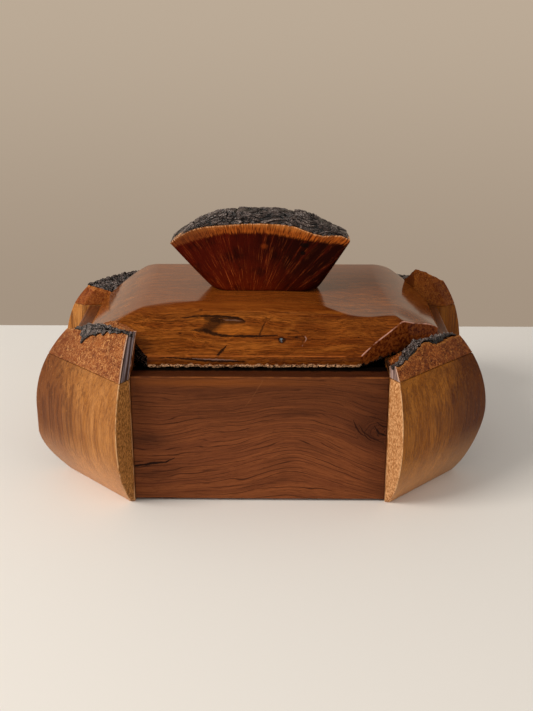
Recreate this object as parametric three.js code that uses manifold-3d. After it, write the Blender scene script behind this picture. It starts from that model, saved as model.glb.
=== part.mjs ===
// Wooden lidded box for papers and keepsakes, built from boards and from barrel-faced corner blocks
// that keep their natural bark on top, with a loose domed lid lifted by a fan-shaped log wedge.
// Millimetres. The origin is on the table under the middle of the box: +X right, +Y back, +Z up.

import * as THREE from 'three';
import { mergeVertices } from 'three/addons/utils/BufferGeometryUtils.js';
import Module from 'manifold-3d';

const wasm = await Module();
wasm.setup();

// Body: four boards round an eight-sided plan whose corners are cut at 45 degrees
const bodyWidth = 258;
const bodyDepth = 190.4;
const rimHeight = 86;
const boardThickness = 18;
const cornerCut = 49;
const footHeight = 1.8;
const boardEasing = 1.2;
const jointGap = 0.3;

// Floor panel, let into a groove in every board and block
const floorThickness = 6;
const floorLift = 6.2;
const grooveDepth = 5;
const cornerTuck = 3;

// Corner blocks: the outer face bulges like a barrel stave, both ends are bevelled
const bulge = 19.7;
const barrelRoundShare = 0.93;
const barrelMidShare = 0.564;
const arrisInset = 2.4;
const arrisInsetShare = 0.18;
const endProud = 3;
const arrisStep = 0.6;
const postDepth = 12;

// Caps on the blocks, and the bark that grows on them
const frontLeftCapDepth = 24;
const frontRightCapDepth = 29.7;
const backLeftCapDepth = 28.2;
const backRightCapDepth = 22.7;
const capFacet = 7.6;
const capClearance = 1.8;
const capHeight = 24;
const capCrestShare = 1.5;
const thinnestCap = 4;
const barkThickness = 4.2;

// Lid: one thick slab, its top worked to a low pillow, set back from the faces of the boards
const lidSideSetback = 11.85;
const lidEndSetback = 11.7;
const lidShiftX = 1.85;
const lidShiftY = 1.5;
const lidLip = 8.5;
const lidRise = 20.6;
const lidFrontSlope = 48;
const lidSideSlope = 40;
const lidBackSlope = 30;
const lidUndercut = 1.6;

// Cleats under the lid that keep it over the opening
const cleatWidth = 14;
const cleatHeight = 8;
const cleatClearance = 2.4;

// Handle: a wedge out of a small log, sapwood and bark upwards
const handleThickness = 26;
const handleFootWidth = 73;
const handleSpan = 121.5;
const handleTipShift = 4;
const handleTipHeight = 33.8;
const handleTipDrop = 1.8;
const handleCrownHeight = 46.6;
const handleFootRadius = 12.6;
const handleTipRadius = 1.2;
const crownBark = 7.8;

// Screws that hold the handle from below, hidden by the lid
const screwSpacing = 40;
const screwShank = 4;
const screwHead = 8;
const screwHeadDepth = 3;
const screwLength = 46;
const screwTip = 5;
const screwFit = 0.3;

const overrun = 6;

// How round the shaped parts are: higher powers stay flat for longer and fall later
const hipPower = 4;
const pillowPower = 1.65;
const handleArcPower = 2.6;
const crownPower = 2.6;

// Shares of a full thickness that remain at the edges of the bark, and the pace at which its ends taper
const barkEdgeShare = 0.4;
const barkEndShare = 0.3;
const barkTaperPace = 6;
const crownTipShare = 0.06;
const crownSideShare = 0.25;

// Shares for the grids and for the sideways shift of the handle
const pastCapShare = 0.2;
const footShiftShare = 0.2;
const domeShares = [1, 0.97, 0.93, 0.89, 0.84, 0.78, 0.71, 0.63, 0.54, 0.4];

// How finely the curved parts are divided
const blockLevels = 18;
const capLevels = 14;
const capColumns = 16;
const capRows = 7;
const lidEdgeSteps = 7;
const handleLevels = 8;
const handleColumns = 24;
const crownRows = 8;
const roundingSteps = 5;
const screwSides = 14;

// Places worked out from the sizes above
const halfWidth = bodyWidth / 2;
const halfDepth = bodyDepth / 2;
const frontEnd = halfWidth - cornerCut;
const sideEnd = halfDepth - cornerCut;
const cutSum = halfWidth + sideEnd;
const postSum = cutSum - boardThickness - Math.SQRT2 * postDepth;
const barrelRadius = rimHeight * barrelRoundShare;
const barrelMidHeight = rimHeight * barrelMidShare;
const lidWidth = bodyWidth - 2 * lidSideSetback;
const lidDepth = bodyDepth - 2 * lidEndSetback;
const lidUnderside = rimHeight + jointGap;
const lidLipTop = lidUnderside + lidLip;
const lidTop = lidLipTop + lidRise;
const handleFoot = lidTop + jointGap;
const floorBottom = footHeight + floorLift;

// Each corner: how deep the cap is from its outer to its inner face, how much of the height above the
// middle counts for the roundness of each end of the block (upper) and again of the cap (full), how far
// its front or back end leans over the board, how high its wood reaches along the outer and the inner
// edge, from that end to the side end, and the stretch of that run which keeps its bark
const corners = [
  {
    name: 'front_left', side: -1, end: -1, capDepth: frontLeftCapDepth,
    upperShares: [1, 1], fullShares: [0.84, 1], endLeanShare: 0.13,
    outerShares: [0.98, 0.97, 0.88, 0.66, 0.69, 0.62], innerShares: [0.92, 0.95, 0.86, 0.72, 0.62, 0.55],
    barkShares: [0.05, 0.78],
  },
  {
    name: 'front_right', side: 1, end: -1, capDepth: frontRightCapDepth,
    upperShares: [1, 1], fullShares: [1, 1], endLeanShare: 0,
    outerShares: [0.39, 0.53, 0.72, 0.56, 0.52, 0.47], innerShares: [0.04, 0.05, 0.06, 0.08, 0.11, 0.15],
    barkShares: [-0.2, 1.2],
  },
  {
    name: 'back_left', side: -1, end: 1, capDepth: backLeftCapDepth,
    upperShares: [1, 0.9], fullShares: [1, 1.05], endLeanShare: 0,
    outerShares: [0.4, 0.52, 0.68, 0.74, 0.76, 0.6], innerShares: [0.4, 0.5, 0.62, 0.64, 0.5, 0.24],
    barkShares: [-0.2, 1.2],
  },
  {
    name: 'back_right', side: 1, end: 1, capDepth: backRightCapDepth,
    upperShares: [1, 0.82], fullShares: [1, 1.2], endLeanShare: 0,
    outerShares: [0.36, 0.42, 0.5, 0.58, 0.72, 0.94], innerShares: [0.4, 0.46, 0.55, 0.66, 0.78, 1.15],
    barkShares: [-0.2, 0.7],
  },
];

const colours = {
  board: 0x6e3a20, block: 0x9a6230, cap: 0x8c4a24, bark: 0x2b2826,
  lid: 0x8a4a1f, heart: 0x5c240f, floor: 0x7a4a2a, screw: 0xb0a070,
};

function finish(colour, roughness, metalness = 0) {
  return new THREE.MeshStandardMaterial({ color: colour, roughness, metalness });
}

function named(name, geometry, material) {
  const mesh = new THREE.Mesh(geometry, material);
  mesh.name = name;
  return mesh;
}

// Closed geometry to solid and back, for the cuts
function toSolid(geometry) {
  const bare = geometry.clone();
  bare.deleteAttribute('normal');
  bare.deleteAttribute('uv');
  const merged = mergeVertices(bare);
  return new wasm.Manifold(new wasm.Mesh({
    numProp: 3,
    vertProperties: new Float32Array(merged.attributes.position.array),
    triVerts: new Uint32Array(merged.index.array),
  }));
}

function toGeometry(solid) {
  const mesh = solid.getMesh();
  const geometry = new THREE.BufferGeometry();
  geometry.setAttribute('position', new THREE.BufferAttribute(mesh.vertProperties, 3));
  geometry.setIndex(new THREE.BufferAttribute(mesh.triVerts, 1));
  geometry.computeVertexNormals();
  return geometry;
}

// Skin over a stack of rings, the first ring at the bottom, both ends filled
function loft(rings) {
  const outline = rings[0].map((p) => new THREE.Vector2(p.x, p.y));
  const turnsLeft = THREE.ShapeUtils.area(outline) > 0;
  const ordered = turnsLeft ? rings : rings.map((ring) => [...ring].reverse());
  const count = ordered[0].length;
  const indices = [];
  for (let level = 0; level < ordered.length - 1; level += 1) {
    for (let i = 0; i < count; i += 1) {
      const next = (i + 1) % count;
      const low = level * count;
      const high = low + count;
      indices.push(low + i, low + next, high + next, low + i, high + next, high + i);
    }
  }
  const last = (ordered.length - 1) * count;
  const flat = (ring) => ring.map((p) => new THREE.Vector2(p.x, p.y));
  for (const [a, b, c] of THREE.ShapeUtils.triangulateShape(flat(ordered[0]), [])) {
    indices.push(a, c, b);
  }
  for (const [a, b, c] of THREE.ShapeUtils.triangulateShape(flat(ordered.at(-1)), [])) {
    indices.push(last + a, last + b, last + c);
  }
  const geometry = new THREE.BufferGeometry();
  const positions = ordered.flat().flatMap((p) => [p.x, p.y, p.z]);
  geometry.setAttribute('position', new THREE.Float32BufferAttribute(positions, 3));
  geometry.setIndex(indices);
  geometry.computeVertexNormals();
  return geometry;
}

// Slab between two height functions over a grid of plan points
function slabBetween(planPoint, under, over, columns, rows) {
  const positions = [];
  const indices = [];
  const layer = (columns + 1) * (rows + 1);
  for (const height of [under, over]) {
    for (let j = 0; j <= rows; j += 1) {
      for (let i = 0; i <= columns; i += 1) {
        const p = planPoint(i / columns, j / rows);
        positions.push(p.x, p.y, height(i / columns, j / rows));
      }
    }
  }
  const at = (i, j) => j * (columns + 1) + i;
  for (let j = 0; j < rows; j += 1) {
    for (let i = 0; i < columns; i += 1) {
      const [a, b, c, d] = [at(i, j), at(i + 1, j), at(i + 1, j + 1), at(i, j + 1)];
      indices.push(a, c, b, a, d, c);
      indices.push(layer + a, layer + b, layer + c, layer + a, layer + c, layer + d);
    }
  }
  const rim = [];
  for (let i = 0; i < columns; i += 1) rim.push(at(i, 0));
  for (let j = 0; j < rows; j += 1) rim.push(at(columns, j));
  for (let i = columns; i > 0; i -= 1) rim.push(at(i, rows));
  for (let j = rows; j > 0; j -= 1) rim.push(at(0, j));
  rim.forEach((a, n) => {
    const b = rim[(n + 1) % rim.length];
    indices.push(a, b, layer + b, a, layer + b, layer + a);
  });
  const [p, q, r] = [planPoint(0, 0), planPoint(1, 0), planPoint(0, 1)];
  const turnsLeft = (q.x - p.x) * (r.y - p.y) - (q.y - p.y) * (r.x - p.x) > 0;
  if (!turnsLeft) {
    for (let n = 0; n < indices.length; n += 3) {
      [indices[n + 1], indices[n + 2]] = [indices[n + 2], indices[n + 1]];
    }
  }
  const geometry = new THREE.BufferGeometry();
  geometry.setAttribute('position', new THREE.Float32BufferAttribute(positions, 3));
  geometry.setIndex(indices);
  return geometry;
}

// Smooth curve through evenly spaced shares
function throughShares(shares, t) {
  const points = shares.map((share, n) => new THREE.Vector2(n / (shares.length - 1), share));
  const held = Math.min(1, Math.max(0, t));
  return new THREE.SplineCurve(points).getPoint(held).y;
}

// Floor panel: an eight-sided sheet, its edge in the grooves
function floorOutline(grow) {
  const reachX = halfWidth - boardThickness + grooveDepth + grow;
  const reachY = halfDepth - boardThickness + grooveDepth + grow;
  const sum = cutSum - boardThickness + Math.SQRT2 * (cornerTuck + grow);
  const quarter = [[reachX, sum - reachX], [sum - reachY, reachY]];
  const points = [];
  for (const [signX, signY, turned] of [[1, 1, false], [-1, 1, true], [-1, -1, false], [1, -1, true]]) {
    const pair = turned ? [...quarter].reverse() : quarter;
    points.push(...pair.map(([x, y]) => new THREE.Vector2(signX * x, signY * y)));
  }
  return new THREE.Shape(points);
}

function floorSheet(grow) {
  const settings = { depth: floorThickness + 2 * grow, bevelEnabled: false };
  const sheet = new THREE.ExtrudeGeometry(floorOutline(grow), settings);
  return sheet.translate(0, 0, floorBottom - grow);
}

const floorPocket = toSolid(floorSheet(jointGap));

// Boards: the section has eased top edges, drawn from the inner face outwards, and runs along the wall
function boardSection() {
  const shape = new THREE.Shape();
  shape.moveTo(0, footHeight);
  shape.lineTo(boardThickness, footHeight);
  shape.lineTo(boardThickness, rimHeight - boardEasing);
  shape.quadraticCurveTo(boardThickness, rimHeight, boardThickness - boardEasing, rimHeight);
  shape.lineTo(boardEasing, rimHeight);
  shape.quadraticCurveTo(0, rimHeight, 0, rimHeight - boardEasing);
  return shape;
}

function board(outward, faceDistance, length) {
  const up = new THREE.Vector3(0, 0, 1);
  const along = new THREE.Vector3().crossVectors(outward, up);
  const start = outward.clone().multiplyScalar(faceDistance - boardThickness);
  start.addScaledVector(along, -length / 2);
  const settings = { depth: length, bevelEnabled: false, curveSegments: 3 };
  const geometry = new THREE.ExtrudeGeometry(boardSection(), settings);
  geometry.applyMatrix4(new THREE.Matrix4().makeBasis(outward, up, along).setPosition(start));
  return toGeometry(toSolid(geometry).subtract(floorPocket));
}

// Barrel face: how far the sum of the two plan distances reaches at a height
function barrelSum(z, upperShare = 1) {
  const fromMiddle = z - barrelMidHeight;
  const rise = Math.min(Math.max(-fromMiddle, upperShare * fromMiddle), barrelRadius);
  const drop = barrelRadius - Math.sqrt(barrelRadius ** 2 - rise ** 2);
  return cutSum + Math.SQRT2 * (bulge - drop);
}

// Plan points of a corner are measured outwards from the middle, then turned to their own quarter
function cornerPoint(corner, x, y, z) {
  return new THREE.Vector3(corner.side * x, corner.end * y, z);
}

// The two outer tips: beyond the cut line, a small part of the bulge runs along the wall
function tips(nearSum, farSum) {
  const lean = (sum) => arrisInset + arrisInsetShare * (sum - cutSum);
  const reach = (sum) => sum - cutSum - lean(sum);
  return {
    near: { along: frontEnd + lean(nearSum), out: halfDepth + reach(nearSum) },
    far: { along: sideEnd + lean(farSum), out: halfWidth + reach(farSum) },
  };
}

function blockRing(corner, z) {
  const [nearSum, farSum] = corner.upperShares.map((share) => barrelSum(z, share));
  const { near, far } = tips(nearSum, farSum);
  const nearEdge = Math.min(halfDepth + endProud, near.out - arrisStep);
  const farEdge = Math.min(halfWidth + endProud, far.out - arrisStep);
  return [
    cornerPoint(corner, frontEnd, nearEdge, z),
    cornerPoint(corner, near.along, near.out, z),
    cornerPoint(corner, far.out, far.along, z),
    cornerPoint(corner, farEdge, sideEnd, z),
    cornerPoint(corner, postSum - sideEnd, sideEnd, z),
    cornerPoint(corner, frontEnd, postSum - frontEnd, z),
  ];
}

function levels(low, high, steps) {
  return Array.from({ length: steps + 1 }, (_, n) => low + (high - low) * (n / steps));
}

function cornerBlock(corner) {
  const rings = levels(0, rimHeight, blockLevels).map((z) => blockRing(corner, z));
  return toGeometry(toSolid(loft(rings)).subtract(floorPocket));
}

// Where the inner face of a cap stands
function capInnerSum(corner) {
  return barrelSum(rimHeight) - Math.SQRT2 * corner.capDepth;
}

// A cap carries the barrel on above the rim, fuller at one end than at the other
function capRing(corner, z) {
  const inner = capInnerSum(corner);
  const [nearSum, farSum] = corner.fullShares.map((share, n) => {
    const counted = rimHeight + share * (z - rimHeight);
    return Math.max(barrelSum(counted, corner.upperShares[n]), inner + thinnestCap);
  });
  const { near, far } = tips(nearSum, farSum);
  const lean = corner.endLeanShare * (z - rimHeight);
  const endFace = frontEnd - lean;
  const nearAlong = Math.max(near.along, frontEnd + arrisStep) - lean;
  const farAlong = Math.max(far.along, sideEnd + arrisStep);
  const nearEdge = Math.max(near.out - capFacet, inner - endFace + arrisStep);
  const farEdge = Math.max(far.out - capFacet, inner - sideEnd + arrisStep);
  return [
    cornerPoint(corner, endFace, nearEdge, z),
    cornerPoint(corner, nearAlong, Math.max(near.out, nearEdge + arrisStep), z),
    cornerPoint(corner, Math.max(far.out, farEdge + arrisStep), farAlong, z),
    cornerPoint(corner, farEdge, sideEnd, z),
    cornerPoint(corner, inner - sideEnd, sideEnd, z),
    cornerPoint(corner, endFace, inner - endFace, z),
  ];
}

function capColumn(corner) {
  const heights = levels(rimHeight + jointGap, rimHeight + capHeight * capCrestShare, capLevels);
  const rings = heights.map((z) => capRing(corner, z));
  return toSolid(loft(rings));
}

// Plan point over a cap: u runs from its front or back end to its side end, v from inside to outside
function capPlan(corner, u, v) {
  const inner = capInnerSum(corner);
  const sum = inner + v * (barrelSum(rimHeight) - inner);
  const x = frontEnd + u * (sum - frontEnd - sideEnd);
  return cornerPoint(corner, x, sum - x, 0);
}

// The wood of a cap ends where the bark began, at one height outside and another inside
function capWoodTop(corner, u, v) {
  const outer = throughShares(corner.outerShares, u);
  const inner = throughShares(corner.innerShares, u);
  return rimHeight + capHeight * THREE.MathUtils.lerp(inner, outer, Math.min(1, Math.max(0, v)));
}

// Grid shares that run past the cap on every side
const pastCap = (t) => (1 + 2 * pastCapShare) * t - pastCapShare;

function cornerCap(corner) {
  const plan = (t, w) => capPlan(corner, pastCap(t), pastCap(w));
  const under = () => rimHeight - overrun;
  const over = (t, w) => capWoodTop(corner, pastCap(t), pastCap(w));
  const wood = toSolid(slabBetween(plan, under, over, capColumns, capRows));
  return toGeometry(capColumn(corner).intersect(wood));
}

// Bark: thin at its edges, thickest along the middle of the cap
function cornerBark(corner) {
  const [start, stop] = corner.barkShares;
  const run = (t) => start + (stop - start) * t;
  const plan = (t, w) => capPlan(corner, run(t), pastCap(w));
  const under = (t, w) => capWoodTop(corner, run(t), pastCap(w)) + jointGap;
  const over = (t, w) => {
    const crown = Math.sin(Math.PI * Math.min(1, Math.max(0, pastCap(w))));
    const taper = Math.min(1, barkTaperPace * Math.min(t, 1 - t) + barkEndShare);
    return under(t, w) + barkThickness * THREE.MathUtils.lerp(barkEdgeShare, 1, crown) * taper;
  };
  const bark = toSolid(slabBetween(plan, under, over, capColumns, capRows));
  return toGeometry(capColumn(corner).intersect(bark));
}

// How far the lid is cut back beside a cap, so that it lifts off clear of it
function lidCut(corner) {
  const reachX = lidWidth / 2 + corner.side * lidShiftX;
  const reachY = lidDepth / 2 + corner.end * lidShiftY;
  return reachX + reachY + Math.SQRT2 * capClearance - capInnerSum(corner);
}

// Lid outline, counter-clockwise from the front edge, each edge split evenly
function lidOutline() {
  const left = lidShiftX - lidWidth / 2;
  const right = lidShiftX + lidWidth / 2;
  const front = lidShiftY - lidDepth / 2;
  const back = lidShiftY + lidDepth / 2;
  const cut = (name) => lidCut(corners.find((corner) => corner.name === name));
  const points = [
    [left + cut('front_left'), front], [right - cut('front_right'), front],
    [right, front + cut('front_right')], [right, back - cut('back_right')],
    [right - cut('back_right'), back], [left + cut('back_left'), back],
    [left, back - cut('back_left')], [left, front + cut('front_left')],
  ].map(([x, y]) => new THREE.Vector2(x, y));
  return points.flatMap((p, n) => {
    const next = points[(n + 1) % points.length];
    return Array.from({ length: lidEdgeSteps }, (_, i) => p.clone().lerp(next, i / lidEdgeSteps));
  });
}

// Pillow: rises from each straight edge and levels off, with soft hips between neighbouring slopes
function pillowHeight(x, y) {
  const inwardX = lidWidth / 2 - Math.abs(x - lidShiftX);
  const inwardY = lidDepth / 2 - Math.abs(y - lidShiftY);
  const slopeY = y < lidShiftY ? lidFrontSlope : lidBackSlope;
  const leftX = Math.max(0, 1 - inwardX / lidSideSlope);
  const leftY = Math.max(0, 1 - inwardY / slopeY);
  const edge = Math.min(1, (leftX ** hipPower + leftY ** hipPower) ** (1 / hipPower));
  return lidLipTop + lidRise * (1 - edge ** pillowPower);
}

function lidPanel() {
  const outline = lidOutline();
  const ringAt = (share, height) => outline.map((p) => {
    const x = lidShiftX + (p.x - lidShiftX) * share;
    const y = lidShiftY + (p.y - lidShiftY) * share;
    return new THREE.Vector3(x, y, height(x, y));
  });
  const undercutShare = 1 - (2 * lidUndercut) / lidDepth;
  const rings = [
    ringAt(undercutShare, () => lidUnderside),
    ringAt(1, () => lidUnderside + lidUndercut),
    ...domeShares.map((share) => ringAt(share, pillowHeight)),
  ];
  let panel = toSolid(loft(rings));
  for (const place of screwPlaces()) panel = panel.subtract(toSolid(screw(place, screwFit)));
  return toGeometry(panel);
}

// Cleats run from front to back inside the opening, between the corner posts
function lidCleat(side) {
  const length = 2 * (sideEnd - cleatClearance);
  const settings = { depth: length, bevelEnabled: false };
  const shape = new THREE.Shape();
  shape.moveTo(0, 0);
  shape.lineTo(cleatWidth, 0);
  shape.lineTo(cleatWidth, -cleatHeight + boardEasing);
  shape.lineTo(cleatWidth - boardEasing, -cleatHeight);
  shape.lineTo(boardEasing, -cleatHeight);
  shape.lineTo(0, -cleatHeight + boardEasing);
  const geometry = new THREE.ExtrudeGeometry(shape, settings);
  const across = new THREE.Vector3(side, 0, 0);
  const up = new THREE.Vector3(0, 0, 1);
  const along = new THREE.Vector3().crossVectors(across, up);
  const outer = halfWidth - boardThickness - cleatClearance;
  const start = across.clone().multiplyScalar(outer - cleatWidth);
  start.addScaledVector(along, -length / 2).setZ(rimHeight);
  return geometry.applyMatrix4(new THREE.Matrix4().makeBasis(across, up, along).setPosition(start));
}

// Rounded rectangle in plan, counter-clockwise
function roundedRing(centreX, centreY, halfX, halfY, radius, z) {
  const points = [];
  const centres = [[1, -1], [1, 1], [-1, 1], [-1, -1]];
  centres.forEach(([signX, signY], corner) => {
    for (let n = 0; n <= roundingSteps; n += 1) {
      const angle = (corner - 1 + n / roundingSteps) * (Math.PI / 2);
      const x = centreX + signX * (halfX - radius) + radius * Math.cos(angle);
      const y = centreY + signY * (halfY - radius) + radius * Math.sin(angle);
      points.push(new THREE.Vector3(x, y, z));
    }
  });
  return points;
}

// Handle blank: narrow rounded foot, widening straight out to crisp tips
function handleBlank(low, high) {
  const share = (z) => Math.min(1, (z - handleFoot) / handleTipHeight);
  const rings = levels(low, high, handleLevels).map((z) => {
    const t = share(z);
    const halfX = THREE.MathUtils.lerp(handleFootWidth, handleSpan, t) / 2;
    const centreX = lidShiftX + handleTipShift * (footShiftShare - t);
    const radius = THREE.MathUtils.lerp(handleFootRadius, handleTipRadius, Math.sqrt(t));
    return roundedRing(centreX, lidShiftY, halfX, handleThickness / 2, radius, z);
  });
  return toSolid(loft(rings));
}

// Plan point over the handle, u along its span and v through its thickness
function handlePlan(u, v, grow) {
  const x = lidShiftX + handleTipShift * (footShiftShare - 1) + (u - 0.5) * (handleSpan + 2 * grow);
  const y = lidShiftY + (v - 0.5) * (handleThickness + 2 * grow);
  return new THREE.Vector2(x, y);
}

// Top of the handle's wood: an arc of the log, flat in the middle and falling to the tips
function handleArc(x) {
  const share = 2 * (x - handlePlan(0.5, 0.5, 0).x) / handleSpan;
  const drop = (handleCrownHeight - handleTipHeight - handleTipDrop * share) * Math.abs(share) ** handleArcPower;
  return handleFoot + handleCrownHeight - drop;
}

function lidHandle() {
  const blank = handleBlank(handleFoot, handleFoot + handleCrownHeight + overrun);
  const under = () => handleFoot - overrun;
  const plan = (u, v) => handlePlan(u, v, arrisStep);
  const top = slabBetween(plan, under, (u, v) => handleArc(plan(u, v).x), handleColumns, 1);
  let handle = blank.intersect(toSolid(top));
  for (const place of screwPlaces()) handle = handle.subtract(toSolid(screw(place, screwFit)));
  return toGeometry(handle);
}

function handleBark() {
  const plan = (u, v) => handlePlan(u, v, -2 * arrisStep);
  const under = (u, v) => handleArc(plan(u, v).x) + jointGap;
  const over = (u, v) => {
    const across = 1 - Math.abs(2 * u - 1) ** crownPower;
    const through = 1 - (1 - crownSideShare) * Math.abs(2 * v - 1) ** crownPower;
    return under(u, v) + crownBark * THREE.MathUtils.lerp(crownTipShare, 1, across * through);
  };
  return slabBetween(plan, under, over, handleColumns, crownRows);
}

// Countersunk wood screws, driven up through the lid into the foot of the handle
function screwPlaces() {
  return [-1, 1].map((side) => ({ side, x: lidShiftX + (side * screwSpacing) / 2 }));
}

function screw(place, grow) {
  const head = screwHead / 2 + grow;
  const shank = screwShank / 2 + grow;
  const under = grow > 0 ? -overrun : 0;
  const profile = [
    [0, under], [head, under], [head, grow + screwFit], [shank, screwHeadDepth + grow],
    [shank, screwLength - screwTip], [0, screwLength + grow],
  ].map(([radius, height]) => new THREE.Vector2(radius, height));
  const geometry = new THREE.LatheGeometry(profile, screwSides);
  geometry.rotateX(Math.PI / 2);
  return geometry.translate(place.x, lidShiftY, lidUnderside + screwFit);
}

const group = new THREE.Group();

const walls = [
  ['front_board', new THREE.Vector3(0, -1, 0), halfDepth, 2 * (frontEnd - jointGap)],
  ['back_board', new THREE.Vector3(0, 1, 0), halfDepth, 2 * (frontEnd - jointGap)],
  ['left_board', new THREE.Vector3(-1, 0, 0), halfWidth, 2 * (sideEnd - jointGap)],
  ['right_board', new THREE.Vector3(1, 0, 0), halfWidth, 2 * (sideEnd - jointGap)],
];
for (const [name, outward, distance, length] of walls) {
  group.add(named(name, board(outward, distance, length), finish(colours.board, 0.45)));
}
group.add(named('floor_panel', floorSheet(0), finish(colours.floor, 0.6)));

for (const corner of corners) {
  group.add(named(`corner_block_${corner.name}`, cornerBlock(corner), finish(colours.block, 0.45)));
  group.add(named(`corner_cap_${corner.name}`, cornerCap(corner), finish(colours.cap, 0.5)));
  group.add(named(`corner_bark_${corner.name}`, cornerBark(corner), finish(colours.bark, 0.9)));
}

group.add(named('lid_panel', lidPanel(), finish(colours.lid, 0.25)));
for (const [side, word] of [[-1, 'left'], [1, 'right']]) {
  group.add(named(`lid_cleat_${word}`, lidCleat(side), finish(colours.board, 0.5)));
}
group.add(named('lid_handle', lidHandle(), finish(colours.heart, 0.35)));
group.add(named('lid_handle_bark', handleBark(), finish(colours.bark, 0.9)));
for (const place of screwPlaces()) {
  const word = place.side < 0 ? 'left' : 'right';
  group.add(named(`handle_screw_${word}`, screw(place, 0), finish(colours.screw, 0.35, 1)));
}

export default group;
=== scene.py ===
"""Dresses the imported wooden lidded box: barrel-faced blocks, natural-edge caps, bark, domed lid, log-wedge handle.

Shapes are worked out in millimetres in the part's own frame (+X right, +Y back, +Z up) and stored in metres.
"""

import itertools
import math

import bpy
import numpy as np
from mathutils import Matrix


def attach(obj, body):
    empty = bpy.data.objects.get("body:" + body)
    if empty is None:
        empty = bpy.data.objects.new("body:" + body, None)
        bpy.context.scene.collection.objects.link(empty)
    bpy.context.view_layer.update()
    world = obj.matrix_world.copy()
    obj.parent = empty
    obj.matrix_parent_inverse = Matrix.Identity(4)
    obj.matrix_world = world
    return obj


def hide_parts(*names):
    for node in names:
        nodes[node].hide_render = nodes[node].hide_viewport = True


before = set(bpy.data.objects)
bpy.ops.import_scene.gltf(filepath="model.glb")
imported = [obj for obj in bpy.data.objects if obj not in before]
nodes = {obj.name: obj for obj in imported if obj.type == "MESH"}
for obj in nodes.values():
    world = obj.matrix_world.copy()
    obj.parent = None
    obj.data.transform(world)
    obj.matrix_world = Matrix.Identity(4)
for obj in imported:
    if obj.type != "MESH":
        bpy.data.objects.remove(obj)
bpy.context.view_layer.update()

METRES = 0.001
ROOT2 = math.sqrt(2)

# Sizes shared with the solids, in millimetres
HALF_WIDTH, HALF_DEPTH = 129.0, 95.2
FRONT_END, SIDE_END = 80.0, 46.2
CUT_SUM = 175.2
POST_SUM = CUT_SUM - 18.0 - ROOT2 * 12.0
RIM = 86.0
GAP = 0.3
BULGE = 19.7
BARREL_RADIUS = RIM * 0.93
BARREL_MIDDLE = RIM * 0.564
ARRIS_STEP = 0.6
ARRIS_INSET, ARRIS_INSET_SHARE = 2.4, 0.18
END_PROUD = 3.0
CAP_FACET = 7.6
CAP_HEIGHT = 24.0
THINNEST_CAP = 4.0
LID_WIDTH, LID_DEPTH = 234.3, 167.0
LID_X, LID_Y = 1.85, 1.5
LID_UNDER = RIM + GAP
LID_LIP_TOP = LID_UNDER + 8.5
LID_RISE = 20.6
LID_TOP = LID_LIP_TOP + LID_RISE
LID_FRONT = LID_Y - LID_DEPTH / 2
LID_FRONT_SLOPE, LID_SIDE_SLOPE, LID_BACK_SLOPE = 48.0, 40.0, 30.0
LID_CLEAR = 1.8
HANDLE_FOOT = LID_TOP + GAP
HANDLE_FOOT_WIDTH, HANDLE_SPAN, HANDLE_DEPTH = 73.0, 121.5, 26.0
HANDLE_TIP, HANDLE_TIP_DROP, HANDLE_CROWN = 33.8, 1.8, 46.6
HANDLE_SHIFT = 4.0
HANDLE_FOOT_RADIUS, HANDLE_TIP_RADIUS, HANDLE_ARC_POWER = 12.6, 1.2, 2.6
HANDLE_MIDDLE = LID_X - 0.8 * HANDLE_SHIFT

# Bark, in millimetres: how deep it sits in the wood, and a plate's length and width on the caps and on the handle
BARK_SUNK = 1.2
CAP_PLATES, CROWN_PLATES = (4.4, 2.6), (8.4, 2.9)
# Torn wood, in millimetres: size of the coarse and of the fine teeth
COARSE_TEETH, FINE_TEETH = 3.6, 1.3

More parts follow.
